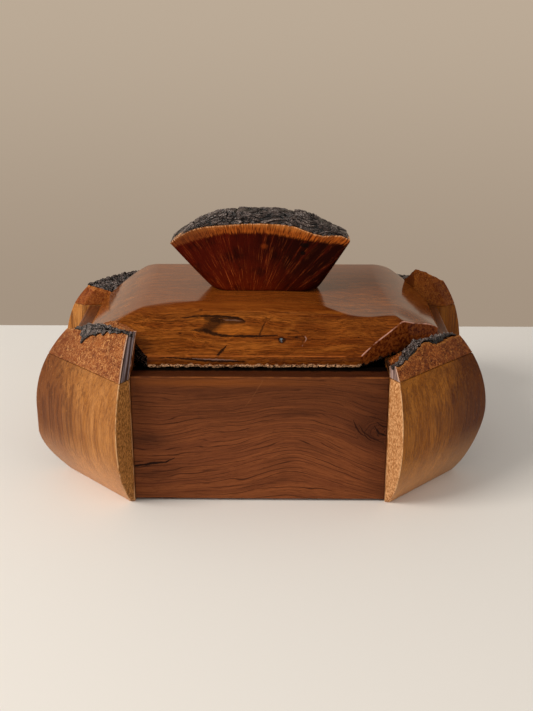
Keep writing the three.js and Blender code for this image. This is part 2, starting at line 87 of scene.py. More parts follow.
# Each corner, from its near end to its far end. Lists are evenly spaced along it.
# side, end: signs of its quarter; depth: of its cap; seed: of its noises
# upper, full: how much of the height above the middle counts at the two ends, for the block and for the cap
# belly: of its far end below the middle; joint: how far block and cap meet off the rim
# lean, spread: of the cap's near end and of its facet, per height; teeth: size of the torn teeth
# outer, inner: natural edge heights outside and inside, as shares of the cap's height
# run: the bark's two ends; inside, outside: how far across the cap it starts and stops
# height, drape: how thick the bark is and how far it hangs down; taper: share of its profile that thins out
CORNERS = {
    "front_left": dict(
        side=-1, end=-1, depth=24.0, upper=(1.0, 1.0), full=(0.84, 1.0), belly=3.4, lean=0.13, spread=0.15, seed=3,
        joint=-1.4, teeth=1.0,
        outer=(0.98, 0.99, 0.98, 0.97, 0.95, 0.93, 0.9, 0.87, 0.84, 0.8, 0.785, 0.78, 0.77, 0.755, 0.71, 0.65, 0.6),
        inner=(1.0, 1.06, 1.03, 1.08, 1.02, 0.94, 0.8, 0.66, 0.58),
        run=(0.02, 0.85), inside=(0.9, 0.9, 0.88, 0.84, 0.74, 0.6, 0.5, 0.5, 0.6, 0.8), outside=(1.0, 1.0),
        height=(0.5, 0.6, 0.7, 0.9, 1.3, 2.2, 3.2, 3.4, 2.6, 1.0, 0.5),
        drape=(0.2, 0.3, 0.5, 0.8, 1.0, 1.3, 2.2, 3.0, 3.8, 4.4, 4.4, 4.0, 6.6, 4.6, 1.2, 1.0, 0.6), taper=0.05,
    ),
    "front_right": dict(
        side=1, end=-1, depth=29.7, upper=(1.0, 1.0), full=(1.0, 1.0), belly=-1.2, lean=0.0, spread=-0.12, seed=11,
        joint=0.0, teeth=1.7,
        outer=(0.39, 0.385, 0.405, 0.445, 0.5, 0.6, 0.71, 0.9, 0.84, 0.68, 0.59, 0.6, 0.63, 0.655, 0.665, 0.61, 0.52),
        inner=(0.04, 0.05, 0.06, 0.07, 0.09, 0.12, 0.14, 0.15, 0.16),
        run=(0.015, 0.9), inside=(0.6, 0.45, 0.25, 0.12, 0.1, 0.1, 0.1),
        outside=(0.8, 0.82, 0.84, 0.84, 0.85, 0.86, 0.88, 0.9, 0.9),
        height=(0.6, 0.8, 1.4, 2.4, 2.0, 1.4, 2.4, 5.0, 6.4, 5.4, 3.4, 1.8), drape=(0.0, 0.0), taper=0.2,
    ),
    "back_left": dict(
        side=-1, end=1, depth=28.2, upper=(1.0, 0.9), full=(1.0, 1.22), belly=0.0, lean=0.0, spread=0.0, seed=23,
        joint=0.0, teeth=1.0,
        outer=(0.4, 0.44, 0.48, 0.53, 0.58, 0.63, 0.67, 0.7, 0.72, 0.74, 0.75, 0.76, 0.76, 0.75, 0.74, 0.74, 0.75),
        inner=(0.4, 0.46, 0.52, 0.55, 0.52, 0.46, 0.4, 0.34, 0.24),
        run=(0.0, 0.94), inside=(0.04, 0.04), outside=(0.98, 0.98, 0.98, 0.96, 0.86),
        height=(2.2, 2.4, 2.4, 2.0, 1.5, 0.8), drape=(0.0, 0.0), taper=0.3,
    ),
    "back_right": dict(
        side=1, end=1, depth=22.7, upper=(1.0, 0.76), full=(1.0, 1.14), belly=0.8, lean=0.0, spread=0.0, seed=37,
        joint=0.0, teeth=1.0,
        outer=(0.36, 0.38, 0.4, 0.42, 0.45, 0.47, 0.49, 0.52, 0.54, 0.57, 0.6, 0.63, 0.65, 0.67, 0.69, 0.7, 0.7),
        inner=(0.4, 0.44, 0.48, 0.53, 0.59, 0.65, 0.74, 0.92, 1.22),
        run=(0.0, 0.66), inside=(0.08, 0.08), outside=(0.96, 0.96),
        height=(2.2, 2.2, 2.2, 1.6), drape=(0.3, 0.3), taper=0.2,
    ),
}

# Along the handle's span, from left tip to right: wood edge and sapwood's lower edge over the log's arc, bark crown
WOOD_EDGE = (
    0, 1.2, 1.7, 1.7, 1.0, 0.2, -0.4, -0.5, -0.3, -0.3, -0.3, -0.4, -0.6, -0.9, -1.5, -3.0, -4.2, -4.2, -2.0,
    0.1, -0.2,
)
SAP_EDGE = (
    -4.2, -4.8, -5.5, -6.0, -6.3, -6.2, -6.0, -6.1, -6.2, -6.4, -6.6, -7.0, -7.6, -8.5, -9.2, -9.3, -9.1, -8.6,
    -7.0, -5.4, -4.4,
)
CROWN = (
    0.2, 0.9, 2.4, 4.0, 5.3, 6.2, 6.8, 6.9, 6.9, 6.8, 7.0, 7.0, 6.6, 6.1, 6.1, 6.2, 5.7, 3.8, 1.8, 0.9, 0.2,
)


# ---------------------------------------------------------------- noise


def hashed(x, y, z, seed):
    """Whole-number places to even random values from 0 to 1."""
    mixed = x * 374761393 + y * 668265263 + z * 915488749 + seed * 69069
    mixed = ((mixed ^ (mixed >> 13)) * 1274126177) & 0x7FFFFFFF
    return ((mixed ^ (mixed >> 16)) & 0xFFFF) / 0xFFFF


def lattice_noise(points, seed):
    """Smooth noise from 0 to 1: random values at whole-number corners, blended by 3t^2 - 2t^3 on each axis."""
    cell = np.floor(points).astype(np.int64)
    part = points - cell
    part = part * part * (3 - 2 * part)
    total = np.zeros(points.shape[:-1])
    for corner in itertools.product((0, 1), repeat=3):
        x, y, z = np.moveaxis(cell + np.array(corner), -1, 0)
        weight = np.prod(np.where(np.array(corner) == 1, part, 1 - part), axis=-1)
        total += weight * hashed(x, y, z, seed)
    return total


def fractal(points, seed, octaves=3):
    """Sum of noises, each half as large and twice as fine as the one before, centred on 0, about -1 to 1."""
    total = np.zeros(points.shape[:-1])
    for n in range(octaves):
        total += (2 * lattice_noise(points * 2**n + 17.3 * n, seed + n) - 1) / 2**n
    return total


def plates(along, across, seed):
    """Bark plates on a unit grid of jittered centres: 0 in the crevices, up to 1 on the highest plates.

    The height is the distance to the second nearest centre less that to the nearest, held at a plateau and
    multiplied by a level and a tilt of the plate's own.
    """
    cell_x, cell_y = np.floor(along).astype(np.int64), np.floor(across).astype(np.int64)
    nearest = np.full(along.shape, 9.0)
    second = np.full(along.shape, 9.0)
    level = np.zeros(along.shape)
    for dx, dy in itertools.product((-1, 0, 1), repeat=2):
        x, y = cell_x + dx, cell_y + dy
        east, north = along - x - hashed(x, y, 0 * x, seed), across - y - hashed(x, y, 0 * x, seed + 1)
        distance = np.hypot(east, north)
        lean_x, lean_y, own = (hashed(x, y, 0 * x, seed + n) - 0.5 for n in (2, 3, 4))
        level = np.where(distance < nearest, 0.72 + 0.5 * own + 0.9 * (lean_x * east + lean_y * north), level)
        second = np.minimum(second, np.maximum(nearest, distance))
        nearest = np.minimum(nearest, distance)
    return smooth(second - nearest, 0.0, 0.3) * np.clip(level, 0.1, 1)


def smooth(value, low, high):
    """0 below low, 1 above high, and 3t^2 - 2t^3 between them."""
    t = np.clip((value - low) / (high - low), 0, 1)
    return t * t * (3 - 2 * t)


# ---------------------------------------------------------------- meshes


def points_at(x, y, z=0.0):
    """Points from coordinates whose shapes fit one another."""
    return np.stack(np.broadcast_arrays(x, y, z), axis=-1)


def raised(plan, z):
    """Plan points lifted to heights z."""
    return np.concatenate([plan, np.broadcast_to(z, plan.shape[:-1])[..., None]], axis=-1)


def evenly(share, values):
    """The value at a share from 0 to 1 along a list of evenly spaced values."""
    return np.interp(share, np.linspace(0, 1, len(values)), values)


def closed_skin(name, rings, sharp=32, **marks):
    """Mesh over rings (rings, points, 3) in millimetres: quads between rings, a fan to the middle of each end.

    Each mark is one value per ring point, kept as a point attribute for the materials.
    """
    count, across = rings.shape[:2]
    poles = np.stack([rings[0].mean(axis=0), rings[-1].mean(axis=0)])
    points = np.concatenate([rings.reshape(-1, 3), poles])
    here = np.arange(across)
    after = (here + 1) % across
    low = (np.arange(count - 1) * across)[:, None]
    high = low + across
    quads = np.stack([low + here, low + after, high + after, high + here], axis=-1).reshape(-1, 4)
    first, last = count * across, count * across + 1
    top = (count - 1) * across
    fans = np.concatenate([
        np.stack([after, here, np.full(across, first)], axis=-1),
        np.stack([top + here, top + after, np.full(across, last)], axis=-1),
    ])
    triangles = np.concatenate([quads[:, [0, 1, 2]], quads[:, [0, 2, 3]], fans])
    a, b, c = (points[triangles[:, n]] for n in range(3))
    if np.einsum("ij,ij->i", a, np.cross(b, c)).sum() < 0:
        quads, fans = quads[:, ::-1], fans[:, ::-1]
    mesh = bpy.data.meshes.new(name)
    mesh.from_pydata((points * METRES).tolist(), [], quads.tolist() + fans.tolist())
    mesh.polygons.foreach_set("use_smooth", np.ones(len(mesh.polygons), bool))
    for label, values in marks.items():
        values = np.broadcast_to(values, (count, across))
        flat = np.concatenate([values.ravel(), [values[0].mean(), values[-1].mean()]])
        mesh.attributes.new(label, "FLOAT", "POINT").data.foreach_set("value", flat.astype(np.float32))
    mesh.update()
    mesh.set_sharp_from_angle(angle=math.radians(sharp))
    made = bpy.data.objects.new(name, mesh)
    bpy.context.scene.collection.objects.link(made)
    return made


ARC_POINTS = np.array([0.25, 0.5, 0.75])


def soft_ring(corners, radii, steps):
    """Ring through corners (levels, corners, 2): edges in equal steps, each corner a short parabola."""
    count = corners.shape[1]
    nexts = np.roll(corners, -1, axis=1)
    lengths = np.maximum(np.linalg.norm(nexts - corners, axis=-1), 1e-6)
    shortest = np.minimum(lengths, np.roll(lengths, 1, axis=1))
    trims = np.minimum(np.array(radii), 0.45 * shortest)
    parts = []
    for n in range(count):
        m = (n + 1) % count
        here, there = corners[:, n], corners[:, m]
        direction = (there - here) / lengths[:, n, None]
        onward = (corners[:, (n + 2) % count] - there) / lengths[:, m, None]
        start = here + direction * trims[:, n, None]
        stop = there - direction * trims[:, m, None]
        leave = there + onward * trims[:, m, None]
        t = np.linspace(0, 1, steps[n])[None, :, None]
        parts.append(start[:, None] + (stop - start)[:, None] * t)
        t = ARC_POINTS[None, :, None]
        parts.append((1 - t) ** 2 * stop[:, None] + 2 * t * (1 - t) * there[:, None] + t**2 * leave[:, None])
    return np.concatenate(parts, axis=1)


def edge_share(steps, chosen, straight=1.0):
    """1 for a soft ring's points on the round corner after each chosen edge, 0 elsewhere.

    The chosen edges' own points get the value straight.
    """
    return np.concatenate([
        np.repeat([straight, 1.0], (count, len(ARC_POINTS))) * (n in chosen) for n, count in enumerate(steps)
    ])


def inset(ring, distance):
    """The ring moved towards its mean point by a distance."""
    inward = ring.mean(axis=0) - ring
    return ring + inward / np.linalg.norm(inward, axis=-1, keepdims=True) * distance


# ---------------------------------------------------------------- corner blocks and caps


def barrel_sum(z, upper=1.0):
    """Plan distance X + Y of the barrel face at height z: a circle's arc about the barrel's middle height."""
    rise = np.minimum(np.maximum(BARREL_MIDDLE - z, upper * (z - BARREL_MIDDLE)), BARREL_RADIUS)
    return CUT_SUM + ROOT2 * (BULGE - BARREL_RADIUS + np.sqrt(BARREL_RADIUS**2 - rise**2))


RIM_SUM = float(barrel_sum(np.array(RIM)))


def tips(near_sum, far_sum):
    """The barrel face's two ends in plan, as x and y of the near tip and of the far tip."""
    near_inset, far_inset = (ARRIS_INSET + ARRIS_INSET_SHARE * (s - CUT_SUM) for s in (near_sum, far_sum))
    near = (FRONT_END + near_inset, HALF_DEPTH + near_sum - CUT_SUM - near_inset)
    far = (HALF_WIDTH + far_sum - CUT_SUM - far_inset, SIDE_END + far_inset)
    return near, far


def block_corners(corner, z):
    """The six plan corners of a block at heights z, in its own quarter."""
    near_sum, far_sum = (barrel_sum(z, upper) for upper in corner["upper"])
    belly = corner["belly"] * np.sin(math.pi * np.clip(z / BARREL_MIDDLE, 0, 1)) ** 1.5
    near, far = tips(near_sum, np.minimum(far_sum + belly, CUT_SUM + ROOT2 * BULGE))
    flat = np.ones_like(z)
    near_edge = np.minimum(HALF_DEPTH + END_PROUD, near[1] - ARRIS_STEP)
    far_edge = np.minimum(HALF_WIDTH + END_PROUD, far[0] - ARRIS_STEP)
    points = [
        (FRONT_END * flat, near_edge), near, far, (far_edge, SIDE_END * flat),
        ((POST_SUM - SIDE_END) * flat, SIDE_END * flat), (FRONT_END * flat, (POST_SUM - FRONT_END) * flat),
    ]
    return np.stack([np.stack(p, axis=-1) for p in points], axis=1)


def cap_inner(corner):
    """Plan distance X + Y of a cap's inner face."""
    return RIM_SUM - ROOT2 * corner["depth"]


def cap_corners(corner, z):
    """The six plan corners of a cap at heights z: the barrel carried on, fuller at one end."""
    inner = cap_inner(corner)
    sums = [barrel_sum(RIM + full * (z - RIM), upper) for full, upper in zip(corner["full"], corner["upper"])]
    near, far = tips(*(np.maximum(s, inner + THINNEST_CAP) for s in sums))
    lean = corner["lean"] * (z - RIM)
    spread = corner["spread"] * (z - RIM)
    end_face = FRONT_END - lean
    side_face = SIDE_END * np.ones_like(z)
    near_x = np.maximum(near[0], FRONT_END + ARRIS_STEP) - lean + spread
    near_edge = np.maximum(near[1] - CAP_FACET, inner - end_face + ARRIS_STEP)
    farthest = np.maximum(far[0] - CAP_FACET, inner - SIDE_END + ARRIS_STEP)
    points = [
        (end_face, near_edge), (near_x, np.maximum(near[1] - spread, near_edge + ARRIS_STEP)),
        (np.maximum(far[0], farthest + ARRIS_STEP), np.maximum(far[1], SIDE_END + ARRIS_STEP)),
        (farthest, side_face), ((inner - SIDE_END) * np.ones_like(z), side_face), (end_face, inner - end_face),
    ]
    return np.stack([np.stack(p, axis=-1) for p in points], axis=1)


def in_quarter(corner, points):
    """Points of the first quarter turned to the corner's own quarter."""
    return points * np.array([corner["side"], corner["end"], 1.0])


def natural_edge(corner, x, y):
    """Height of a cap's wood under its bark: outer and inner edge blended across, with torn teeth."""
    total = x + y
    inner_sum = cap_inner(corner)
    across = np.clip((total - inner_sum) / (RIM_SUM - inner_sum), 0, 1)
    run = np.clip((x - FRONT_END) / (total - FRONT_END - SIDE_END), 0, 1)
    outer, inner = evenly(run, corner["outer"]), evenly(run, corner["inner"])
    place = points_at(x * corner["side"], y * corner["end"])
    seed = corner["seed"]
    teeth = 0.5 * fractal(place / COARSE_TEETH, seed, 3) + 0.45 * fractal(place / FINE_TEETH, seed + 5, 2)
    torn = corner["teeth"] * teeth * smooth(outer + across, 0.3, 0.6)
    return RIM + CAP_HEIGHT * (inner + (outer - inner) * across) + torn


BLOCK_STEPS = (10, 44, 8, 24, 20, 24)
CAP_STEPS = (12, 130, 10, 34, 90, 34)


def corner_block(label, corner):
    """Barrel stave block: rings of its outline from table to rim, with eased bottom and top edges."""
    top = RIM + corner["joint"]
    z = np.concatenate([[0.0, 0.5], np.linspace(1.5, top - 1.5, 44), [top - 0.4, top]])
    ring = soft_ring(block_corners(corner, z), (0.7, 0.8, 0.6, 0.7, 1.0, 1.0), BLOCK_STEPS)
    rings = raised(ring, z[:, None])
    rings[0], rings[-1] = inset(rings[0], 0.5), inset(rings[-1], 0.4)
    marks = dict(
        facet=edge_share(BLOCK_STEPS, (0,)), end_strip=edge_share(BLOCK_STEPS, (5,)),
        arris_highlight=edge_share(BLOCK_STEPS, (0, 5), 0.0),
    )
    return closed_skin(f"block_{label}", in_quarter(corner, rings), **marks)


def cut_to_height(rings, heights, wood, lowest, rows):
    """Side rows of a column cut off at a height of its own: even levels from lowest to the wood."""
    below = wood - heights[:, None]
    crossing = np.argmax(below < 0, axis=0)
    column = np.arange(rings.shape[1])
    upper, lower = below[crossing, column], below[crossing - 1, column]
    step = heights[1] - heights[0]
    top = heights[crossing - 1] + lower / (lower - upper) * step
    levels = lowest + np.linspace(0, 1, rows)[:, None] * (top - lowest)[None]
    index = (levels - heights[0]) / step
    whole = np.clip(index.astype(int), 0, len(heights) - 2)
    part = (index - whole)[..., None]
    plan = rings[whole, column[None]] * (1 - part) + rings[whole + 1, column[None]] * part
    return raised(plan, levels)


def corner_cap(label, corner):
    """Cap: the barrel's rings cut off at the natural edge, then the top drawn in to its middle."""
    lowest = RIM + GAP + corner["joint"]
    heights = np.linspace(lowest, RIM + 1.5 * CAP_HEIGHT, 70)
    rings = soft_ring(cap_corners(corner, heights), (0.6, 0.7, 0.6, 0.6, 0.8, 0.8), CAP_STEPS)
    side = cut_to_height(rings, heights, natural_edge(corner, rings[..., 0], rings[..., 1]), lowest, 30)
    edge = side[-1, :, :2]
    centre = edge.mean(axis=0)
    drawn = []
    for pull in (0.025, 0.06, 0.11, 0.17, 0.25, 0.34, 0.45, 0.58, 0.72, 0.87):
        flat = edge + (centre - edge) * pull
        drawn.append(raised(flat, natural_edge(corner, *flat.T))[None])
    rings = np.concatenate([inset(side[0], 0.4)[None], side[:1] + [0, 0, 0.4], side[2:]] + drawn)
    upright = (np.arange(len(rings)) <= len(side) + 1)[:, None] * 1.0
    below = np.abs(side[-1, :, 2] - rings[..., 2]) + CAP_HEIGHT * (1 - upright)
    marks = dict(
        facet=edge_share(CAP_STEPS, (0,)) * upright, inward=edge_share(CAP_STEPS, (4, 5)) * upright,
        arris_highlight=edge_share(CAP_STEPS, (0, 5), 0.0) * upright,
        brink=smooth(1.5 - below, 0.0, 1.2) * edge_share(CAP_STEPS, (1, 2)),
    )
    return closed_skin(f"cap_{label}", in_quarter(corner, rings), **marks)


def corner_bark(label, corner):
    """Bark: a ragged profile over the cap's top, carried from one end of the run to the other.

    Its plates stand out along the normal of the profile, and where it reaches the face it hangs down a little.
    """
    start, stop = corner["run"]
    run = start + (stop - start) * np.linspace(0, 1, 210)[:, None]
    w = np.linspace(0, 1, 90)[None]
    inner = cap_inner(corner)
    ragged, seed = points_at(run * 22, 0), corner["seed"]
    rag_in = lattice_noise(ragged + 40, seed + 2)
    rag_out = 0.6 * lattice_noise(ragged, seed + 3) + 0.4 * lattice_noise(ragged * 2.7, seed + 3)
    share = (run - start) / (stop - start)
    high, drape = evenly(share, corner["height"]), evenly(share, corner["drape"])
    inside, outside = evenly(share, corner["inside"]), evenly(share, corner["outside"])
    v_in = inside + 0.1 * (rag_in - 0.5)
    v_out = outside - 0.06 * rag_out * (outside < 1)

    def wood_under(total):
        """Height of the cap's wood along the run at a plan distance X + Y."""
        x = FRONT_END + run * (total - FRONT_END - SIDE_END)
        return natural_edge(corner, x, total - x)

    def face_at(z):
        """Plan distance X + Y of the cap's outer face at height z."""
        return barrel_sum(RIM + np.mean(corner["full"]) * (z - RIM), corner["upper"][1])

    total = inner + 0.5 + (RIM_SUM - inner - 0.5) * (v_in + (v_out - v_in) * np.clip(w / 0.8, 0, 1))
    total = np.minimum(total, face_at(wood_under(total)))
    down = smooth(w, 0.74, 1.0) * drape * (0.5 + rag_out)
    z = wood_under(total) - down
    total = np.where(w > 0.8, np.minimum(face_at(z), total + down), total)
    tilt = smooth(w, 0.66, 0.9) * math.radians(70) * np.clip(drape / 1.5, 0, 1)
    ends = np.clip(np.minimum(run - start, stop - run) / 0.04, 0, 1) ** 0.6
    rim_in, rim_out = np.clip(w / 0.06, 0, 1) ** 0.6, np.clip((1 - w) / corner["taper"], 0, 1) ** 0.6
    length = CUT_SUM - FRONT_END - SIDE_END + 22
    warp = fractal(points_at(run * 6, w * 2), seed + 7, 2)
    along = run * length / CAP_PLATES[0] + 0.5 * warp
    across = w * (v_out - v_in) * corner["depth"] / CAP_PLATES[1] + 0.9 * warp + run * 5
    large = plates(along, across, seed)
    small = plates(along * 2.3 + 9, across * 2.1 + 4, seed + 9)
    relief = large * (0.65 + 0.35 * small)
    hugging = 1 - 0.65 * smooth(w, 0.66, 0.84) * np.clip(drape / 2, 0, 1)
    thick = (0.3 + high * hugging * (0.35 + 0.65 * relief)) * ends * rim_in * rim_out
    outer, under = (
        np.stack([total + ROOT2 * np.sin(tilt) * depth, z + np.cos(tilt) * depth], axis=-1)
        for depth in (thick, -BARK_SUNK)
    )
    profile = np.concatenate([outer, under[:, ::-6]], axis=1)
    crest = np.concatenate([relief * rim_out, 0 * under[:, ::-6, 0]], axis=1)
    spread = np.repeat(run, profile.shape[1], axis=1)
    total, z = profile[..., 0], profile[..., 1]
    x = FRONT_END + spread * (total - FRONT_END - SIDE_END) - corner["lean"] * (z - RIM) * (1 - spread)
    rings = points_at(x, total - x, z)
    return closed_skin(f"bark_{label}", in_quarter(corner, rings), sharp=70, crest=crest)


# ---------------------------------------------------------------- lid


def lid_outline():
    """The lid's eight plan corners, counter-clockwise from the front edge, each cut clear of its cap."""
    left, right = LID_X - LID_WIDTH / 2, LID_X + LID_WIDTH / 2
    front, back = LID_FRONT, LID_Y + LID_DEPTH / 2

    def cut(label):
        corner = CORNERS[label]
        reach = LID_WIDTH / 2 + corner["side"] * LID_X + LID_DEPTH / 2 + corner["end"] * LID_Y
        return reach + ROOT2 * LID_CLEAR - cap_inner(corner)

    fl, fr, br, bl = cut("front_left"), cut("front_right"), cut("back_right"), cut("back_left")
    return np.array([
        (left + fl, front), (right - fr, front), (right, front + fr), (right, back - br),
        (right - br, back), (left + bl, back), (left, back - bl), (left, front + fl),
    ])


def pillow(x, y):
    """Height of the lid's top: it rises from each straight edge and levels off, with soft hips between slopes.

    The front slope is shorter towards both ends, and the top falls off a little towards the right front cut.
    """
    inward_x = LID_WIDTH / 2 - np.abs(x - LID_X)
    inward_y = LID_DEPTH / 2 - np.abs(y - LID_Y)
    front = LID_FRONT_SLOPE - 20 * smooth(x, 32, 66) + 5 * smooth(x, 68, 84) - 15 * smooth(-x, 52, 88)
    power = 1.65 - 0.6 * smooth(x, 54, 68) * smooth(-y, 26, 46)
    rise = LID_RISE - 5 * smooth(x, 0, 90) * smooth(-y, -60, 50)
    slope_y = np.where(y < LID_Y, front, LID_BACK_SLOPE)
    left_x = np.maximum(0, 1 - inward_x / (LID_SIDE_SLOPE - 9 * smooth(x, 0, 40) * smooth(-y, -40, 60)))
    left_y = np.maximum(0, 1 - inward_y / slope_y)
    edge = np.minimum(1, (left_x**4 + left_y**4) ** 0.25)
    return LID_LIP_TOP + rise * (1 - edge**power)


LID_STEPS = (200, 100, 60, 70, 110, 80, 60, 90)


def lid_panel():
    """Slab: the outline's rings up the lip, whose lower front edge is torn, then drawn in over the pillow."""
    ring = soft_ring(lid_outline()[None], (1.2, 0.6) + (1.2,) * 6, LID_STEPS)[0]
    centre = np.array([LID_X, LID_Y])
    step = (ring - centre) / np.linalg.norm(ring - centre, axis=-1, keepdims=True)
    place = raised(ring, 0.0)
    coarse = fractal(place / COARSE_TEETH, 71, 3) * 0.5 + 0.5
    rag = fractal(place / 1.5, 73, 2)
    front = edge_share(LID_STEPS, (0,))
    chamfer = edge_share(LID_STEPS, (1,))
    broken = np.maximum(front, chamfer)
    rows, torn, bark_and_shade = [], [], []
    for n, level in enumerate((0.0, 0.0, 0.7, 1.4, 2.1, 2.8, 3.5, 4.2)):
        fibre = fractal(place / FINE_TEETH + n * 3.1, 77, 2)
        ease = np.maximum(0, 1 - level / 1.6) * (2.6 if n == 0 else 1.5)
        bite = broken * (0.5 * fibre + 0.5 * (coarse - 0.35) + 0.3 * rag) * smooth(4.4 - level, 0, 1.6)
        lift = broken * np.clip(coarse - 0.5, 0, 1) * 3.0 * (level < 0.5)
        flat = ring - step * np.maximum(ease + bite, 0)[:, None]
        rows.append(raised(flat, LID_UNDER + level + np.minimum(lift, 0.6)))
        torn.append(front * smooth(2.7 - level + 0.6 * rag + 0.5 * (coarse - 0.5), 0, 0.7))
        # Black bark flecks and painted shade in the crevice along the right front cut's lower edge.
        bark_and_shade.append(chamfer * smooth(2.8 - level + 0.8 * rag + 3.0 * (coarse - 0.5), 0, 0.8))
    brink = ring + (centre - ring) * 0.002
    crest = np.maximum(pillow(*brink.T), LID_LIP_TOP) - 0.5
    for z in (LID_UNDER + 5.6, LID_LIP_TOP - 1.2, np.maximum(crest - 0.8, LID_LIP_TOP - 1.1), crest):
        rows.append(raised(ring, z))
    upright = len(rows)
    shares = np.concatenate([[0.002, 0.006, 0.012], np.linspace(0.02, 0.985, 84)])
    for share in shares:
        flat = ring + (centre - ring) * share
        rows.append(raised(flat, pillow(*flat.T) - 0.35 * max(0, 1 - share / 0.008)))
    rest = np.zeros((len(rows) - len(torn), len(ring)))
    row = np.arange(len(rows))[:, None]
    wall = (row < upright) * 1.0
    brow = (row >= upright - 1) * (row <= upright) * 1.0
    lit = 0.35 * edge_share(LID_STEPS, (0, 2)) + chamfer
    # Painted deep shade over the whole left front cut, which sits in the dark gap beside its cap.
    bark_and_deep_shade = np.maximum(np.vstack([*bark_and_shade, rest]), wall * edge_share(LID_STEPS, (7,)))
    marks = dict(
        torn=np.vstack([*torn, rest]), bark_and_shade=bark_and_deep_shade, upright=wall,
        end_grain=wall * edge_share(LID_STEPS, (1, 3, 5, 7)), arris_highlight=brow * lit,
    )
    return closed_skin("lid", np.stack(rows), sharp=38, **marks)


# ---------------------------------------------------------------- handle


def span_share(x):
    """Place along the handle's span, -1 at the left tip and 1 at the right tip."""
    return 2 * (x - HANDLE_MIDDLE) / HANDLE_SPAN


def handle_arc(x):
    """Height of the log's arc at x: flat in the middle, falling to the tips, the left tip a little lower."""
    share = span_share(x)
    fall = HANDLE_CROWN - HANDLE_TIP - HANDLE_TIP_DROP * share
    return HANDLE_FOOT + HANDLE_CROWN - fall * np.abs(share) ** HANDLE_ARC_POWER


def over_arc(x, heights):
    """Height at x of a line given by its distances over the log's arc."""
    return handle_arc(x) + evenly((1 + span_share(x)) / 2, heights)


def handle_wood():
    """Fan-shaped wedge: a rounded rectangle that widens from foot to tips, cut at the log's natural edge."""
    heights = np.linspace(HANDLE_FOOT, HANDLE_FOOT + HANDLE_CROWN + 5, 60)
    t = np.minimum(1, (heights - HANDLE_FOOT) / HANDLE_TIP)
    half = (HANDLE_FOOT_WIDTH + (HANDLE_SPAN - HANDLE_FOOT_WIDTH) * t) / 2
    middle = LID_X + HANDLE_SHIFT * (0.2 - t)
    radius = HANDLE_FOOT_RADIUS + (HANDLE_TIP_RADIUS - HANDLE_FOOT_RADIUS) * np.sqrt(t)
    quarters = []
    for n, (side, end) in enumerate(((1, -1), (1, 1), (-1, 1), (-1, -1))):
        angle = (n - 1 + np.linspace(0, 1, 9)) * math.pi / 2
        x = middle[:, None] + side * (half - radius)[:, None] + radius[:, None] * np.cos(angle)
        y = LID_Y + end * (HANDLE_DEPTH / 2 - radius)[:, None] + radius[:, None] * np.sin(angle)
        quarters.append(np.stack([x, y], axis=-1))
    run = np.linspace(0, 1, 110)[None, 1:-1, None]
    back = quarters[1][:, -1:] + (quarters[2][:, :1] - quarters[1][:, -1:]) * run
    front = quarters[3][:, -1:] + (quarters[0][:, :1] - quarters[3][:, -1:]) * run
    rings = np.concatenate([quarters[0], quarters[1], back, quarters[2], quarters[3], front], axis=1)
    teeth = 0.35 * fractal(raised(rings * (1, 0.4), 0.0) / 3.0, 51, 3)
    hidden = 1.6 * smooth(rings[..., 1], LID_Y - 6, LID_Y + 4)
    side = cut_to_height(rings, heights, over_arc(rings[..., 0], WOOD_EDGE) + teeth - hidden, HANDLE_FOOT, 50)
    rows = [side]
    for pull in (0.05, 0.12, 0.3, 0.7):
        flat = side[-1, :, :2].copy()
        flat[:, 1] += (LID_Y - flat[:, 1]) * pull
        height = np.minimum(side[-1, :, 2] + 0.1, over_arc(flat[:, 0], WOOD_EDGE))
        rows.append(raised(flat, height)[None])
    rings = np.concatenate(rows)
    rings[0] = inset(rings[0], 0.3)
    sapwood = rings[..., 2] - over_arc(rings[..., 0], SAP_EDGE)
    edge = over_arc(rings[..., 0], WOOD_EDGE) - rings[..., 2]
    return closed_skin("handle_wood", rings, sapwood=sapwood, under_bark=edge)


def handle_bark():
    """Bark crown: a rounded profile over the wedge's top, carried along its span, in long plates."""
    u = np.linspace(0, 1, 380)[:, None]
    x = HANDLE_MIDDLE + (u - 0.5) * (HANDLE_SPAN - 2.4)
    angle = np.linspace(0, 1, 110)[None] * math.pi
    lift = np.sin(angle) ** 0.66
    hang = 0.9 * lattice_noise(points_at(x / 2.4, 0), 61) - 0.2
    low, high = over_arc(x, WOOD_EDGE), over_arc(x, CROWN)
    y = -np.sign(np.cos(angle)) * np.abs(np.cos(angle)) ** 0.6 * (HANDLE_DEPTH / 2 - 0.4) + 0 * u
    z = low - hang * (1 - lift) ** 4 + (high - low) * lift
    place = points_at(x, y)
    warp = fractal(place / 16.0, 81, 2)
    swirl = fractal(place / 34.0, 87, 2)
    along = (x + 9 * warp) / CROWN_PLATES[0]
    across = (angle / math.pi * 36 + 6.5 * warp + 10.0 * swirl) / CROWN_PLATES[1]
    large = plates(along, across, 91)
    small = plates(along * 2.1 + 5, across * 1.9 + 8, 97)
    relief = large * (0.65 + 0.35 * small)
    ends = np.clip(np.minimum(u, 1 - u) / 0.02, 0, 1) ** 0.7
    stand = (2.7 * (relief - 0.6)) * ends * (0.4 + 0.6 * np.minimum(1, (high - low) / 4))
    sideways, up = -np.cos(angle), 1.3 * np.sin(angle)
    y = y + sideways / np.hypot(sideways, up) * np.maximum(stand, -0.9)
    z = z + up / np.hypot(sideways, up) * stand
    under = y[:, ::-8] * 0.9
    ring_y = np.concatenate([y, under], axis=1) + LID_Y
    ring_z = np.concatenate([z, low - BARK_SUNK + 0 * under], axis=1)
    crest = np.concatenate([relief, 0 * under], axis=1)
    return closed_skin("handle_bark", points_at(x, ring_y, ring_z), sharp=70, crest=crest)


# ---------------------------------------------------------------- materials


def linear(code):
    """sRGB hex colour to linear red, green, blue and full alpha."""
    parts = [int(code[n : n + 2], 16) / 255 for n in (1, 3, 5)]
    return tuple(p / 12.92 if p <= 0.04045 else ((p + 0.055) / 1.055) ** 2.4 for p in parts) + (1.0,)


